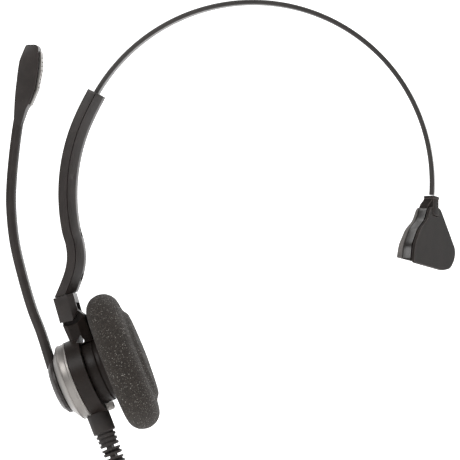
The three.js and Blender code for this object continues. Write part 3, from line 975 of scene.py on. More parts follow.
@dataclass
class Studio:
    """The camera, the soft lights and the pale floor with its backdrop."""

    target: Triple = (-8.4, 0, -90.2)
    azimuth: float = 7.5
    elevation: float = -2.0
    distance: float = 1300.0
    view_width: float = 183.8
    sensor: float = 36.0
    floor: float = -303.5

    def camera(self) -> None:
        """Makes the camera."""
        turn, lift = math.radians(self.azimuth), math.radians(self.elevation)
        way = Vector((math.sin(turn) * math.cos(lift), -math.cos(turn) * math.cos(lift), math.sin(lift)))
        made = bpy.data.objects.new("camera", bpy.data.cameras.new("camera"))
        bpy.context.scene.collection.objects.link(made)
        made.location = metres(self.target) + way * self.distance * MM
        made.rotation_euler = (-way).to_track_quat("-Z", "Y").to_euler()
        made.data.sensor_width = self.sensor
        made.data.lens = self.sensor * self.distance / self.view_width
        made.data.clip_start = 0.05
        bpy.context.scene.camera = made

    def lamp(self, name: str, place: Triple, size: float, power: float, aim: Triple = (-10, 0, -90)) -> None:
        """Adds a square soft light.

        Args:
            name: Its name.
            place: Its place in millimetres.
            size: Its side in millimetres.
            power: Its power in watts.
            aim: What it points at, in millimetres.
        """
        light = bpy.data.lights.new(name, "AREA")
        light.shape = "SQUARE"
        light.size = size * MM
        light.energy = power
        made = bpy.data.objects.new(name, light)
        bpy.context.scene.collection.objects.link(made)
        made.location = metres(place)
        made.rotation_euler = (metres(aim) - metres(place)).to_track_quat("-Z", "Y").to_euler()

    def build(self) -> None:
        """Makes the floor, the backdrop and the lights."""
        g = Graph("pale floor")
        cloud = g.noise(g.place(), 400.0, 2)
        pale = g.shade(
            {
                "Base Color": g.blend(cloud, (0.86, 0.86, 0.86, 1), (0.9, 0.9, 0.9, 1)),
                "Roughness": 0.9,
                "Specular IOR Level": 0.1,
                "Emission Color": (1, 1, 1, 1),
                "Emission Strength": 0.85,
            }
        )
        near, far, bend, reach = -7500.0, 3300.0, 1500.0, 7800.0
        sweep_back = [(near, self.floor), (far, self.floor)]
        sweep_back += [polar((far, self.floor + bend), bend, 9 * step - 90) for step in range(1, 11)]
        sweep_back += [(far + bend, self.floor + reach)]
        made = Work("backdrop", [(-reach, y, z) for y, z in sweep_back], closed=False)
        made.push((2 * reach, 0, 0))
        made._object()
        made.piece.data.materials.append(pale)
        bpy.ops.object.shade_smooth()
        bpy.context.scene.view_settings.view_transform = "Standard"
        world = bpy.data.worlds.new("studio")
        world.use_nodes = True
        world.node_tree.nodes["Background"].inputs[0].default_value = (1, 1, 1, 1)
        world.node_tree.nodes["Background"].inputs[1].default_value = 0.4
        bpy.context.scene.world = world
        self.lamp("key", (-650, -900, 650), 600, 14)
        self.lamp("fill", (900, -700, 100), 600, 5)
        self.lamp("top", (0, 100, 900), 700, 10)
        self.lamp("rim", (500, 700, 300), 600, 6)


@dataclass
class Headband:
    """The sprung strip over the head, in one arc."""

    wide: float = 5.0
    thick: float = 1.95
    left: float = 168.0
    right: float = -4.0
    corner: float = 0.5
    steps: int = 172

    def build(self, palette: Palette) -> None:
        """Makes and dresses the strip.

        Args:
            palette: The finishes.
        """
        section = []
        for across, high in bar(self.wide / 2, self.thick / 2, self.corner):
            x, z = polar(ARC_CENTRE, ARC_RADIUS + high, self.left)
            section.append((x, across, z))
        made = Work("spring_strip", section)
        made.spin((0, 1, 0), self.left - self.right, self.steps, (ARC_CENTRE[0], 0, ARC_CENTRE[1]))
        made.fit(palette, Body.HEADBAND, Slot.SPRING, "headband_spring")


def screw(name: str, head: float, shank: float, length: float) -> Work:
    """A cross-headed screw along Z, its head's underside at zero.

    Args:
        name: Its name.
        head: The head's radius.
        shank: The shank's radius.
        length: The shank's length.

    Returns:
        The work.
    """
    profile = [(0, -0.95), (head * 0.6, -0.9), (head, -0.55), (head, 0), (shank, 0.4)]
    turns = int((length - 1) / 0.5)
    for index in range(turns):
        z = 0.5 + index * 0.5
        profile += [(shank * 0.82, z), (shank, z + 0.25)]
    profile += [(shank, length - 0.5), (0, length)]
    made = turned(name, profile, 32)
    for wide, deep in ((head * 0.62, 0.17), (0.17, head * 0.62)):
        made.boolean(block("recess", (-wide, -deep, -1.5), (wide, deep, -0.45)))
    return made


@dataclass
class SliderArm:
    """The curved arm that slides on the strip: two shells, screws, and the fork block below."""

    back: float = 5.5
    ridge: float = 6.5
    inner: float = 2.2
    outer_high: float = 2.95
    split: float = 0.7
    inner_high: float = 3.6
    gap: float = 0.3
    knee_out: Pair = (-79.2, -117.4)
    knee_in: Pair = (-71.5, -115.0)
    block_way: Pair = (0.28, -0.96)
    slot_half: float = 3.75
    screws: tuple[tuple[str, Pair, float], ...] = (
        ("arm_screw_upper", (-72.1, -91.6), -99),
        ("arm_screw_lower", (-71.9, -107.6), -72),
    )

    def line(self, steps: int) -> list[Vector]:
        """The arm's centreline: the strip's arc with a slow drift outwards, then an S to the knee.

        Args:
            steps: How many pieces to cut it into.

        Returns:
            Its points in millimetres.
        """
        points = []
        for index in range(8):
            angle = 149.5 + 6.45 * index
            x, z = polar(ARC_CENTRE, ARC_RADIUS + 0.065 * max(0, angle - 155), angle)
            points.append((x, 0, z))
        points += [(-71.3, 0, -95.2), (-70.65, 0, -100.6), (-71.25, 0, -105.9)]
        points += [(-73.0, 0, -111.4), (-75.6, 0, -117.6), (-77.2, 0, -121.6)]
        return smooth_line(points, steps)

    def channel(self) -> Work:
        """The slot that the strip runs in."""
        section = []
        for across, high in ((3.9, 1.1), (-3.9, 1.1), (-3.9, -1.15), (3.9, -1.15)):
            x, z = polar(ARC_CENTRE, ARC_RADIUS + high, 178.4)
            section.append((x, across, z))
        return Work("channel", section).spin((0, 1, 0), 31.4, 24, (ARC_CENTRE[0], 0, ARC_CENTRE[1]))

    def bore(self, at: Pair, turn: float, radius: float, start: float, end: float) -> Work:
        """A round hole across the arm.

        Args:
            at: Its X and Z.
            turn: Its axis, in degrees from Z towards X.
            radius: Its radius.
            start: The depth it starts at.
            end: The depth it ends at.

        Returns:
            The hole's solid.
        """
        way = Vector((math.sin(math.radians(turn)), 0, math.cos(math.radians(turn))))
        base = Vector((at[0], 0, at[1]))
        return rod("bore", radius, tuple(base + way * start), tuple(base + way * end), 32)

    def knee(self) -> Triple:
        """The way down across the knee's mitre."""
        dx, dz = self.knee_in[0] - self.knee_out[0], self.knee_in[1] - self.knee_out[1]
        return (dz, 0, -dx)

    def knee_at(self, x: float) -> float:
        """The height of the knee's mitre at a given X."""
        slope = (self.knee_in[1] - self.knee_out[1]) / (self.knee_in[0] - self.knee_out[0])
        return self.knee_out[1] + slope * (x - self.knee_out[0])

    def shells(self, palette: Palette) -> None:
        """Makes the outer shell and the inner cover.

        Args:
            palette: The finishes.
        """
        line = self.line(84)
        low = -self.split - self.gap
        sections = {
            "arm_back": [(self.back, self.outer_high), (-self.back, self.outer_high),
                         (-self.ridge, -self.split), (self.ridge, -self.split)],
            "arm_face": [(self.ridge, low), (-self.ridge, low),
                         (-self.inner, -self.inner_high), (self.inner, -self.inner_high)],
        }
        nodes = {"arm_back": "arm_outer_shell", "arm_face": "arm_inner_cover"}
        knee_point = (self.knee_out[0], 0, self.knee_out[1])
        for name, section in sections.items():
            made = sweep(name, section, line)
            made.bisect(knee_point, self.knee())
            made.boolean(self.channel())
            if name == "arm_face":
                for _, at, turn in self.screws:
                    made.boolean(self.bore(at, turn, 1.9, -7, -1.85))
            made.bevel(0.35, 3, 28)
            made.fit(palette, Body.ARM, Slot.SATIN, nodes[name])

    def fasteners(self) -> None:
        """Makes the two blackened screws."""
        model = screw("arm_screw", 1.5, 0.8, 3.4)
        dark = Metal("blackened steel", (0.05, 0.048, 0.046), 0.4, 0.7, (1, 5, 1), 0, 0.4).build()
        for name, at, turn in self.screws:
            made = model.copy(name.replace("arm_", "arm_cross_"))
            place = Matrix.Translation(metres((at[0], 0, at[1])))
            spin = Matrix.Rotation(math.radians(turn), 4, "Y")
            made.stand(place @ spin @ Matrix.Translation(metres((0, 0, -2.3))))
            settle(made.finish(dark), Body.ARM, Slot.STEEL, name)
        bpy.data.objects.remove(model.piece)

    def fork(self, palette: Palette) -> None:
        """Makes the fork block and the pivot pin, which goes in from the back.

        Args:
            palette: The finishes.
        """
        (dx, dz), (ox, oz) = self.block_way, self.knee_out
        line = [Vector((ox + dx * t, 0, oz + dz * t)) for t in (-6, 18)]
        section = [(5.6, 0), (-5.6, 0), (-6.5, -5.8), (-4.6, -8.2), (4.6, -8.2), (6.5, -5.8)]
        made = sweep("fork_cheeks", section, line)
        outline = [(-84, self.knee_at(-84) - self.gap), (-84, -129), (-76.3, -127.4), (-71.0, -126.3),
                   (-69.2, -122.8), (-64, -118), (-64, self.knee_at(-64) - self.gap)]
        made.boolean(slab("outline", outline, -10, 10), Cut.KEEP)
        slot = rounded([(-self.slot_half, -119), (self.slot_half, -119), (self.slot_half, -135),
                        (-self.slot_half, -135)], 0.6, 3)
        made.boolean(plate("slot", slot, -90, -60))
        px, pz = PIVOT
        made.boolean(rod("bore", PIN_BORE, (px, -5.3, pz), (px, 10, pz)))
        made.boolean(rod("seat", 1.9, (px, 5.3, pz), (px, 7.3, pz)))
        made.bevel(0.4, 3, 25)
        made.fit(palette, Body.ARM, Slot.SATIN, "fork_block")
        pin = turned("pivot_pin", [(0, -5.85), (0.5, -5.85), (0.7, -5.75), (1.3, -5.9), (1.5, -5.7),
                                   (1.5, -5.4), (0.9, -5.2), (0.9, 4.8), (0.75, 5), (0, 5)], 40)
        pin.stand(Matrix.Translation(metres((px, 0, pz))) @ Matrix.Rotation(math.radians(90), 4, "X"))
        pin.fit(palette, Body.ARM, Slot.STEEL, "cup_pivot_pin")

    def build(self, palette: Palette) -> None:
        """Makes and dresses the whole arm.

        Args:
            palette: The finishes.
        """
        self.shells(palette)
        self.fasteners()
        self.fork(palette)


@dataclass
class EarCup:
    """The tilting cup: housing with its pierced neck, trim ring, speaker plate, cushion and sleeve."""

    radius: float = 15.9
    inner: float = 14.3
    front: float = -5.6
    back: float = -11.4
    floor: float = 1.5
    tongue: float = 3.4
    knuckle: float = 3.0
    shoulder: float = 6.0
    foam_turn: float = -6.5
    foam_cell: float = 1.2
    foam_pressure: float = 4.0
    foam_frames: int = 12
    foam_cap: float = 0.75
    window: tuple[Pair, ...] = ((-68.1, -132.0), (-66.2, -134.4), (-66.8, -135.5), (-69.4, -135.3))

    def neck(self) -> list[Pair]:
        """The neck's outline in the cup's frame, from the knuckle round to the plate's edge."""
        pivot = to_cup(*PIVOT)
        knuckle = [polar(pivot, self.knuckle, 90 + 10 * step) for step in range(17)]
        return [*knuckle, to_cup(-75.4, -128.4), to_cup(-72.5, -134.6), (-12.5, -9.4), (-12.5, -0.4),
                (-23.5, -0.4)]

    def deep(self) -> bpy.types.Material:
        """The deeper black of the cup's plastic."""
        # Its sixth number, 6.0, is the strength of the painted highlight along the edges.
        return Moulded("deep black", (0.0078, 0.0056, 0.0046), 0.42, 0.25, 0.01, 6.0, 0.1).build()

    def housing(self) -> None:
        """Makes the housing, its neck and the window through it."""
        shell = turned("cup_shell", [
            (6, self.front), (self.radius, self.front), (self.radius, self.back), (self.inner, self.back),
            (self.inner, self.front - self.floor), (6, self.front - self.floor)], 112, ring=True)
        px, pz = to_cup(*PIVOT)
        neck = self.neck()
        wide = slab("neck_wide", neck, -7, 7)
        facets = [(4.4, -9.6), (5.9, -7.9), (5.9, -3.6), (4.0, -0.4)]
        facets += [(-y, z) for y, z in reversed(facets)]
        wide.boolean(plate("facets", facets, -30, -10), Cut.KEEP)
        wide.boolean(rod("shoulder", self.shoulder, (px, -10, pz), (px, 10, pz), 64))
        shell.boolean(wide, Cut.ADD)
        shell.boolean(slab("tongue", neck, -self.tongue, self.tongue), Cut.ADD)
        shell.boolean(turned("well", [(0, -5.45), (12.95, -5.45), (12.95, 4), (0, 4)], 112))
        shell.boolean(turned("hollow", [(0, -13), (14.3, -13), (14.3, -7.1), (0, -7.1)], 112))
        shell.boolean(rod("bore", PIN_BORE, (px, -10, pz), (px, 10, pz)))
        opening = rounded([to_cup(x, z) for x, z in self.window], 0.8, 5)
        shell.boolean(slab("window", opening, -9, 9))
        shell.boolean(rod("exit", 2.0, (11, 0, -9.2), (19, 0, -9.2)))
        shell.bevel(0.28, 3, 30)
        shell.stand(CUP_MATRIX)
        settle(shell.finish(self.deep()), Body.CUP, Slot.SATIN, "cup_housing")

    def ring(self, palette: Palette) -> None:
        """Makes the silver ring.

        Args:
            palette: The finishes.
        """
        made = turned("silver_ring", [
            (14.3, -11.7), (15.75, -11.7), (15.9, -11.9), (15.9, -12.6), (15.55, -12.8), (15.55, -15.2),
            (15.75, -15.35), (15.6, -15.7), (11.9, -18.25), (11.5, -18.4), (3.9, -18.4), (3.9, -17.0),
            (10.7, -17.0), (14.3, -14.9)], 144, ring=True)
        made.bevel(0.1, 2, 25)
        made.stand(CUP_MATRIX)
        made.fit(palette, Body.CUP, Slot.SILVER, "trim_ring")

    def plate(self) -> None:
        """Makes the plate that carries the cushion and the speaker."""
        made = turned("cushion_plate", [
            (11.4, -5.3), (12.9, -5.3), (12.9, -1.2), (12.5, -0.9), (12.5, 0.6), (12.9, 0.9), (12.9, 2.5),
            (18.4, 2.5), (18.4, 3.9), (16.3, 3.9), (16.3, 7.4), (15.4, 7.4), (15.4, 3.6), (11.4, 3.6),
            (11.4, -2.4), (9.0, -2.4), (9.0, -5.3)], 112, ring=True)
        made.bevel(0.15, 2, 30)
        made.stand(CUP_MATRIX)
        settle(made.finish(self.deep()), Body.CUP, Slot.SATIN, "speaker_plate")

    def tab(self) -> None:
        """Makes the small tab beside the sleeve."""
        corners = [(13.0, -5.55), (15.5, -5.55), (16.2, -4.8), (16.2, -3.1), (15.4, -2.5), (13.0, -2.5)]
        outline = rounded(corners, 0.3)
        made = slab("sleeve_tab", outline, -1.6, 1.6)
        made.bevel(0.25, 3, 40)
        made.stand(CUP_MATRIX)
        # The tab is black gloss plastic; its light grey colour is a painted reflection.
        painted_reflection = Gloss("smoky tab", (0.24, 0.225, 0.21), 0.14).build()
        settle(made.finish(painted_reflection), Body.CUP, Slot.GLOSS, "gland_tab")

    def fasteners(self, palette: Palette) -> None:
        """Makes the two screws that hold the housing to the plate.

        Args:
            palette: The finishes.
        """
        model = screw("cup_screw", 1.7, 0.8, 4.2)
        for index, side in enumerate((1, -1)):
            made = model.copy(f"cup_cross_screw_{index + 1}")
            made.stand(CUP_MATRIX @ Matrix.Translation(metres((0, side * 10.2, -7.4))))
            made.fit(palette, Body.CUP, Slot.STEEL, f"housing_screw_{index + 1}")
        bpy.data.objects.remove(model.piece)

    def cushion(self, palette: Palette) -> None:
        """Makes the foam cushion: turned, remeshed evenly, then swollen a little by a cloth simulation.

        Args:
            palette: The finishes.
        """
        profile = [(0, 8.4), (21.6, 8.4), (21.6, 2.0), (13.9, 2.0), (13.9, 0.2)]
        profile += [(21.9 + 6.8 * math.cos(math.radians(a)), 7.0 + 6.9 * math.sin(math.radians(a)))
                    for a in range(-90, 91, 15)]
        profile += [(19.6, 13.8), (17.0, 15.9), (0, 15.9)]
        made = turned("foam_cushion", profile, 64)
        step = made.piece
        made._object()
        remesh = step.modifiers.new("Remesh", "REMESH")
        remesh.mode = "VOXEL"
        remesh.voxel_size = self.foam_cell * MM
        bpy.ops.object.modifier_apply(modifier=remesh.name)
        self.puff(step)
        finer = step.modifiers.new("Finer", "SUBSURF")
        finer.levels = finer.render_levels = 1
        bpy.ops.object.modifier_apply(modifier=finer.name)
        turned_edge_on = Matrix.Rotation(math.radians(self.foam_turn), 4, "X")
        made.stand(CUP_MATRIX @ Matrix.Translation(metres((-0.2, 0, 0))) @ turned_edge_on)
        piece = made.finish(palette.of(Slot.FOAM), 180)
        settle(piece, Body.CUP, Slot.FOAM, "ear_cushion")

    def puff(self, piece: bpy.types.Object) -> None:
        """Swells the foam by cloth, and caps how far each point moves.

        Args:
            piece: The cushion, whose points move.
        """
        rest = [v.co.copy() for v in piece.data.vertices]
        cloth = piece.modifiers.new("Cloth", "CLOTH")
        cloth.settings.use_pressure = True
        cloth.settings.uniform_pressure_force = self.foam_pressure
        cloth.settings.effector_weights.gravity = 0.0
        cloth.settings.mass = 0.05
        scene = bpy.context.scene
        for number in range(1, self.foam_frames + 1):
            scene.frame_set(number)
        bpy.ops.object.modifier_apply(modifier=cloth.name)
        scene.frame_set(1)
        cap = self.foam_cap * MM
        for vertex, start in zip(piece.data.vertices, rest):
            move = vertex.co - start
            if move.length > cap:
                vertex.co = start + move * (cap / move.length)

    def sleeve(self, palette: Palette) -> bpy.types.Object:
        """Makes the ribbed sleeve round the cord: pairs of slots, each a quarter turn from the next.

        Args:
            palette: The finishes.

        Returns:
            What it made.
        """
        collar, radius, ribbed, tip, length, pitch, bore, web = 7.3, 4.6, 4.05, 3.3, 34.0, 1.9, 1.55, 1.15

        def width(z: float) -> float:
            """The sleeve's radius at a height."""
            return ribbed + (tip - ribbed) * (z - collar) / (length - collar)

        ribs = int((length - collar) / pitch)
        profile = [(bore, -1.3), (radius - 0.3, -1.3), (radius, -0.9), (radius, collar - 0.3),
                   (radius - 0.3, collar)]
        for index in range(ribs):
            z = collar + index * pitch
            root = width(z) - 0.6
            profile += [(root, z + 0.05), (root, z + 0.75), (width(z) - 0.1, z + 0.8),
                        (width(z) + 0.02, z + 1.0), (width(z + pitch), z + pitch - 0.15),
                        (width(z + pitch) - 0.12, z + pitch)]
        profile += [(tip - 0.6, length), (bore, length)]
        made = turned("ribbed_sleeve", profile, 56, ring=True)
        for index in range(3, ribs):
            z = collar + index * pitch
            for low, high in ((-6, -web), (web, 6)):
                first, last = ((low, -6), (high, 6)) if index % 2 else ((-6, low), (6, high))
                made.boolean(block("slot", (*first, z), (*last, z + 1.05)))
        base = Matrix.Translation(metres((SLEEVE_BASE[0], 0, SLEEVE_BASE[1])))
        made.stand(CUP_MATRIX @ base @ Matrix.Rotation(math.radians(90), 4, "Y"))
        return made.fit(palette, Body.CUP, Slot.RUBBER, "strain_relief")

    def build(self, palette: Palette) -> None:
        """Makes and dresses the whole cup.

        Args:
            palette: The finishes.
        """
        self.housing()
        self.ring(palette)
        self.plate()
        self.tab()
        self.fasteners(palette)
        self.sleeve(palette)
        self.cushion(palette)


@dataclass
class Boom:
    """The boom that turns on the cup's back: hub cap, faceted tube and microphone paddle."""

    line: tuple[Pair, ...] = (
        (-80.3, -145.4), (-81.5, -141.7), (-84.8, -131.4), (-88.7, -121.3), (-93.2, -106.0), (-95.9, -94.2),
        (-97.3, -80.2), (-97.1, -70.2), (-95.8, -56.2), (-94.3, -45.6), (-93.2, -40.0))
    head: tuple[Pair, ...] = (
        (-95.5, -51.5), (-96.0, -45.2), (-95.5, -38.6), (-95.0, -33.0), (-94.1, -25.4), (-93.5, -21.7),
        (-90.9, -15.2), (-86.6, -15.2), (-85.7, -16.7), (-85.8, -21.7), (-86.0, -25.4), (-87.2, -33.0),
        (-89.3, -38.6), (-91.0, -41.2), (-92.3, -45.2), (-94.4, -51.5))
    strip: tuple[Pair, ...] = (
        (-85.6, -17.7), (-84.8, -18.4), (-84.7, -21.7), (-84.8, -25.4), (-86.3, -33.2), (-89.2, -39.8),
        (-89.5, -39.3), (-87.0, -33.0), (-85.6, -25.4), (-85.5, -21.7))

    def hub(self, palette: Palette) -> None:
        """Makes the hub's cap, dished in the middle and notched for the fingers.

        Args:
            palette: The finishes.
        """
        made = turned("hub_cap", [
            (0, -18.9), (11.2, -18.9), (11.2, -20.0), (9.0, -21.7), (6.8, -22.1), (5.4, -22.1), (4.6, -21.8),
            (0, -21.8)], 128)
        for index in range(18):
            x, y = polar((0, 0), 11.7, index * 20)
            made.boolean(rod("notch", 0.75, (x, y, -19.3), (x, y, -24), 20))
        made.bevel(0.15, 2, 30)
        made.stand(CUP_MATRIX)
        made.fit(palette, Body.BOOM, Slot.SATIN, "boom_hub_cap")

    def tube(self, palette: Palette) -> None:
        """Makes the faceted tube.

        Args:
            palette: The finishes.
        """
        half, deep = 2.05, 2.3
        section = [(0, half), (-deep * 0.8, half * 0.75), (-deep, -0.2), (-deep * 0.55, -half),
                   (deep * 0.55, -half), (deep, -0.2), (deep * 0.8, half * 0.75)]
        made = sweep("boom_rod", section, smooth_line([(x, 0, z) for x, z in self.line], 90))
        made.bevel(0.3, 3, 20)
        made.fit(palette, Body.BOOM, Slot.SATIN, "boom_tube")

    def microphone(self, palette: Palette) -> None:
        """Makes the microphone's paddle and the perforated strip along its edge.

        Args:
            palette: The finishes.
        """
        made = slab("microphone_paddle", rounded(self.head, 0.8, 3), -3.6, 3.6)
        sides = [(-1.3, -53), (-2.3, -46), (-3.6, -37), (-3.6, -18), (-2.6, -13.2)]
        sides += [(-y, z) for y, z in reversed(sides)]
        made.boolean(plate("sides", rounded(sides, 2.5, 6), -110, -70), Cut.KEEP)
        made.bevel(0.7, 4, 34)
        made.fit(palette, Body.BOOM, Slot.SATIN, "mic_housing")
        made = slab("microphone_strip", rounded(self.strip, 0.3, 3), -2.0, 2.0)
        for index in range(8):
            z = -20.5 - index * 1.7
            made.boolean(block("slit", (-92, -1.1, z - 0.25), (-80, 1.1, z + 0.25)))
        made.bevel(0.12, 2, 30)
        made.fit(palette, Body.BOOM, Slot.SILVER, "mic_grille_strip")

    def build(self, palette: Palette) -> None:
        """Makes and dresses the whole boom.

        Args:
            palette: The finishes.
        """
        self.hub(palette)
        self.tube(palette)
        self.microphone(palette)


@dataclass
class TemplePad:
    """The rounded triangular pad on the strip's other end: clip, polished carrier, cover, cushion."""

    front: tuple[Pair, ...] = ((-23.4, -28.6), (-21.8, -21.3), (-15.8, -14.4), (-8.9, -10.4), (-5.2, -4.7))
    back: tuple[Pair, ...] = ((5.8, -4.2), (22.9, -19.2), (21.8, -23.4), (17.2, -27.3), (9.0, -28.8))
    notch: float = 3.05

    def outline(self, grow: float = 0.0) -> list[Pair]:
        """The pad's outline in Y and Z: waisted in front, full at the back.

        Args:
            grow: How far it is moved outwards.

        Returns:
            The rounded outline.
        """
        front = [(y - grow, z - grow * 0.3) for y, z in self.front]
        back = [(y + grow, z - grow * 0.3) for y, z in self.back]
        return rounded([*front, *back], 2.2, 5)

    def cutouts(self, made: Work) -> None:
        """Cuts the notch that the clip stands in."""
        half = self.notch
        shape = rounded([(-half, 2), (half, 2), (half, -7.95), (-half, -7.95)], 0.5, 3)
        made.boolean(plate("notch", shape, -2.3, 4))

    def build(self) -> None:
        """Makes the pad and dresses it in its own finishes."""
        carrier = plate("pad_carrier", self.outline(), -3.0, 0.2)
        self.cutouts(carrier)
        carrier.boolean(block("pocket", (-2.2, -3.05, -11.4), (4, 3.05, -7.9)))
        carrier.bisect(*PAD_BOTTOM)
        carrier.bevel(0.3, 4, 34)
        cover = plate("pad_cover", self.outline(-0.4), 0.5, 1.7)
        self.cutouts(cover)
        cover.bevel(0.12, 1, 34)
        cushion = plate("pad_cushion", self.outline(), -7, 0)
        cushion.boolean(slab("wedge", [(-3.3, 0), (-3.3, -32), (-6.0, -32), (-4.1, 0)], -30, 30), Cut.KEEP)
        cushion.bisect(*PAD_BOTTOM)
        cushion.bevel(0.3, 3, 34)
        clip = block("swivel_clip", (-2.1, -2.95, -1.0), (2.1, 2.95, 0))
        clip.boolean(block("stem", (-1.95, -2.7, -7.6), (1.95, 2.7, -0.9)), Cut.ADD)
        clip.boolean(block("tongue", (-1.85, -2.7, -11), (0.1, 2.7, -7.5)), Cut.ADD)
        flare = Work("flare", [(-2.0, -2.7, -0.7), (1.7, -2.7, -0.7), (1.7, 2.7, -0.7), (-2.0, 2.7, -0.7)])
        for step, wide in (((-0.5, 0, -1.2), 1.05), ((-0.9, 0, -1.3), 1.2), ((-1.0, 0, -3.4), 1.25)):
            flare.push(step).swell((1, wide, 1), (0, 0, 0))
        clip.boolean(flare.close(), Cut.ADD)
        clip.boolean(rod("bore", 1.6, (0, 0, -7), (0, 0, 3)))
        clip.bevel(0.3, 3, 34)
        # The sixth numbers set the painted highlight along the edges: 12.0 on the cover and clip, 3.0 on the
        # carrier.
        matt = Moulded("matt black", (0.0115, 0.0098, 0.009), 0.7, 0.3, 0.02, 12.0, 0.05).build()
        wall = Moulded("semi-gloss black", (0.007, 0.0058, 0.005), 0.3, 0.4, 0.006, 3.0, 0.22).build()
        grey = Rubber("grey rubber", (0.055, 0.05, 0.047), 0.7).build()
        parts = (
            (carrier, Slot.GLOSS, wall, "temple_pad_carrier"),
            (cover, Slot.SATIN, matt, "temple_pad_cover"),
            (cushion, Slot.RUBBER, grey, "temple_pad_cushion"),
            (clip, Slot.SATIN, matt, "temple_clip"),
        )
        for work, slot, finish, node in parts:
            work.stand(TEMPLE_MATRIX)
            settle(work.finish(finish), Body.TEMPLE, slot, node)


@dataclass
class Lead:
    """The cord: out of the sleeve, into a hank held by a tie, and down to its quick-release plug."""

    diameter: float = 2.4
    pitch: float = 2.45
    innermost: float = 7.5
    middle: Pair = (-44.4, -241.6)
    straight: float = 9.5
    turn_points: int = 40
    lanes: tuple[tuple[int, int], ...] = (
        (2, -1), (1, -1), (0, -1), (0, 0), (0, 1), (1, 1), (1, 0), (2, 0), (2, 1))
    steps_at: tuple[float, ...] = (0.80, 0.80, 0.70, 0.70, 0.60, 0.50, 0.40, 0.30)
    plug: Pair = (-34.2, -271.1)
    length: float = 0.9

    def lane(self, turns: float) -> Pair:
        """The radius and the layer of the cord after a number of turns.

        Args:
            turns: Turns wound so far.

        Returns:
            The radius and the Y of the cord's middle.
        """
        row, layer = map(float, self.lanes[0])
        for index, at in enumerate(self.steps_at):
            t = min(1.0, max(0.0, (turns - index - at + 0.09) / 0.18))
            ease = t * t * (3 - 2 * t)
            row += (self.lanes[index + 1][0] - self.lanes[index][0]) * ease
            layer += (self.lanes[index + 1][1] - self.lanes[index][1]) * ease
        return (self.innermost + row * self.pitch, layer * self.pitch)

    def wound(self, turns: float) -> Triple:
        """The cord's middle after a number of turns from the top of the right-hand run.

        Args:
            turns: Turns wound so far.

        Returns:
            The point in millimetres.
        """
        radius, y = self.lane(turns)
        x, z = self.middle
        part = turns % 1.0
        if part < 0.19:
            return (x + radius, y, z + self.straight * (1 - 2 * part / 0.19))
        if part < 0.5:
            bend = polar((x, z - self.straight), radius, -180 * (part - 0.19) / 0.31)
            return (bend[0], y, bend[1])
        if part < 0.69:
            return (x - radius, y, z - self.straight * (1 - 2 * (part - 0.5) / 0.19))
        bend = polar((x, z + self.straight), radius, 180 - 180 * (part - 0.69) / 0.31)
        return (bend[0], y, bend[1])

    def route(self) -> list[Vector]:
        """The cord's middle from the sleeve's base to the plug."""
        down = [from_cup(along, SLEEVE_BASE[1]) for along in (SLEEVE_BASE[0], 23, 31, 39, 46, 51.5)]
        start = [(x, 0, z) for x, z in down]
        start += [(-45.0, -0.6, -206.4), (-41.9, -1.4, -213.4), (-38.2, -2.1, -219.9)]
        turns = 8
        coil = [self.wound((k - 5) / self.turn_points) for k in range(0, 5 + turns * self.turn_points + 8)]
        head = smooth_line([*start, *coil[1:4]], 44)[:-12]
        px, pz = self.plug
        tail = [(-32.0, 2.4, -254.5), (-32.1, 2.2, -258.5), (-32.5, 1.5, -263), (-33.3, 0.6, -267.5),
                (px + 0.1, 0.1, pz - 0.4), (px, 0, pz - 4), (px, 0, pz - 9.2)]
        end = smooth_line([coil[-2], coil[-1], *tail], 40)[5:]
        return [Vector(p) for p in head] + [Vector(p) for p in coil[2:-1]] + [Vector(p) for p in end]

    def cord(self, palette: Palette) -> bpy.types.Object:
        """Makes the cord as one curve.

        Args:
            palette: The finishes.

        Returns:
            The curve object.
        """
        points = self.route()
        shape = bpy.data.curves.new("cord", "CURVE")
        shape.dimensions = "3D"
        shape.bevel_depth = self.diameter / 2 * MM
        shape.bevel_resolution = 5
        shape.use_fill_caps = True
        line = shape.splines.new("POLY")
        line.points.add(len(points) - 1)
        for point, place in zip(line.points, points):
            point.co = (*metres(place), 1.0)
        line.use_smooth = True
        piece = bpy.data.objects.new("cord", shape)
        bpy.context.scene.collection.objects.link(piece)
        shape.materials.append(palette.of(Slot.RUBBER))
        return settle(piece, Body.CUP, Slot.RUBBER, "cord_lead", "cord_hank", "cord_tail")

    def tie(self, palette: Palette) -> bpy.types.Object:
        """Makes the strap round the hank, with its overlapping end.

        Args:
            palette: The finishes.

        Returns:
            What it made.
        """
        half_x, half_y, deep, high = 13.9, 3.98, 0.8, 3.0
        x, z = self.middle
        inside = rounded([(-half_x, -half_y), (half_x, -half_y), (half_x, half_y), (-half_x, half_y)], 2.6, 6)
        out_x, out_y = half_x + deep, half_y + deep
        outside = rounded([(-out_x, -out_y), (out_x, -out_y), (out_x, out_y), (-out_x, out_y)], 3.2, 6)
        made = Work("tie_strap", [(a, b, -high) for a, b in outside]).push((0, 0, 2 * high)).close()
        made.boolean(Work("hole", [(a, b, -high - 1) for a, b in inside]).push((0, 0, 2 * high + 2)).close())
        made.boolean(block("lap", (-9.0, -out_y - 0.75, -high), (5.5, -out_y + 0.2, high)), Cut.ADD)
        buckle = block("buckle", (-1.6, -out_y - 1.3, -high - 0.6), (1.6, -out_y + 0.2, high + 0.6))
        made.boolean(buckle, Cut.ADD)
        made.bevel(0.22, 3, 40)
        made.stand(Matrix.Translation(metres((x, 0, z))))
        return made.fit(palette, Body.CUP, Slot.RUBBER, "cord_tie")

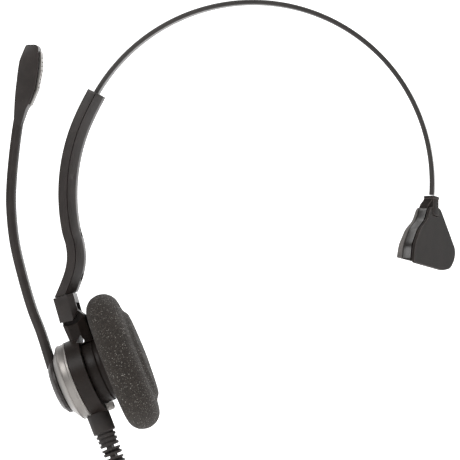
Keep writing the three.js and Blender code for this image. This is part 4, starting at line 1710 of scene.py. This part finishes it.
    def ends(self, palette: Palette) -> list[bpy.types.Object]:
        """Makes the plug's boot, its shell and its contact block.

        Args:
            palette: The finishes.

        Returns:
            What it made.
        """
        place = Matrix.Translation(metres((self.plug[0], 0, self.plug[1])))
        profile = [(1.35, -0.5), (2.2, -0.5), (2.3, -0.7)]
        for index in range(5):
            z = -1.4 - index * 1.25
            wide = 2.35 + index * 0.15
            profile += [(wide, z + 0.25), (wide - 0.45, z + 0.1), (wide - 0.4, z - 0.35),
                        (wide + 0.1, z - 0.5)]
        profile += [(3.1, -7.5), (4.3, -8.2), (4.3, -9.5), (1.35, -9.5)]
        boot = turned("plug_boot_sleeve", profile, 48, ring=True)
        boot.bevel(0.08, 2, 40)
        shell = turned("plug_barrel", [(0, -9.8), (4.4, -9.8), (4.7, -10.1), (5.2, -11.2), (5.2, -23.4),
                                       (4.9, -24), (0, -24)], 72)
        shell.stand(Matrix.Diagonal((1, 0.78, 1, 1)))
        shell.boolean(block("nose", (-3.9, -2.9, -29), (3.9, 2.9, -23.5)), Cut.ADD)
        shell.boolean(block("mouth", (-3.1, -2.1, -30), (3.1, 2.1, -25)))
        for index in range(5):
            for side in (-1, 1):
                y0, y1 = sorted((side * 3.75, side * 4.6))
                z = -13.2 - index * 1.5
                shell.boolean(block("grip", (-3.2, y0, z - 0.4), (3.2, y1, z + 0.4)))
        shell.boolean(block("latch", (-1.5, -4.35, -24.4), (1.5, -3.2, -20.8)), Cut.ADD)
        shell.bevel(0.18, 3, 36)
        contact = block("contact_block", (-2.7, -1.7, -28.2), (2.7, 1.7, -25.3))
        for index in range(4):
            x = -2.0 + index * 1.1
            contact.boolean(block("gap", (x, -2.0, -28.6), (x + 0.7, 0.4, -25.9)))
        contact.bevel(0.08, 2, 36)
        parts = ((boot, Slot.RUBBER, "plug_boot"), (shell, Slot.SATIN, "plug_shell"),
                 (contact, Slot.BRASS, "plug_contact_block"))
        made = []
        for work, slot, node in parts:
            work.stand(place)
            made.append(settle(work.finish(palette.of(slot)), Body.CUP, slot, node))
        return made

    def build(self, palette: Palette) -> None:
        """Makes and dresses the cord and all that is on it.

        Args:
            palette: The finishes.
        """
        cord = self.cord(palette)
        x, z = from_cup(*SLEEVE_BASE)
        x * MM
        z * MM
        self.tie(palette)
        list(self.ends(palette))


def main() -> None:
    """Builds the headset and its studio."""
    logging.basicConfig(level=logging.INFO, format="%(name)s: %(message)s")
    palette = Palette()
    palette.build()
    palette.dress_frame()
    studio = Studio()
    studio.camera()
    Lead().build(palette)
    studio.build()
    Headband().build(palette)
    SliderArm().build(palette)
    EarCup().build(palette)
    Boom().build(palette)
    TemplePad().build()


if __name__ == "__main__":
    main()
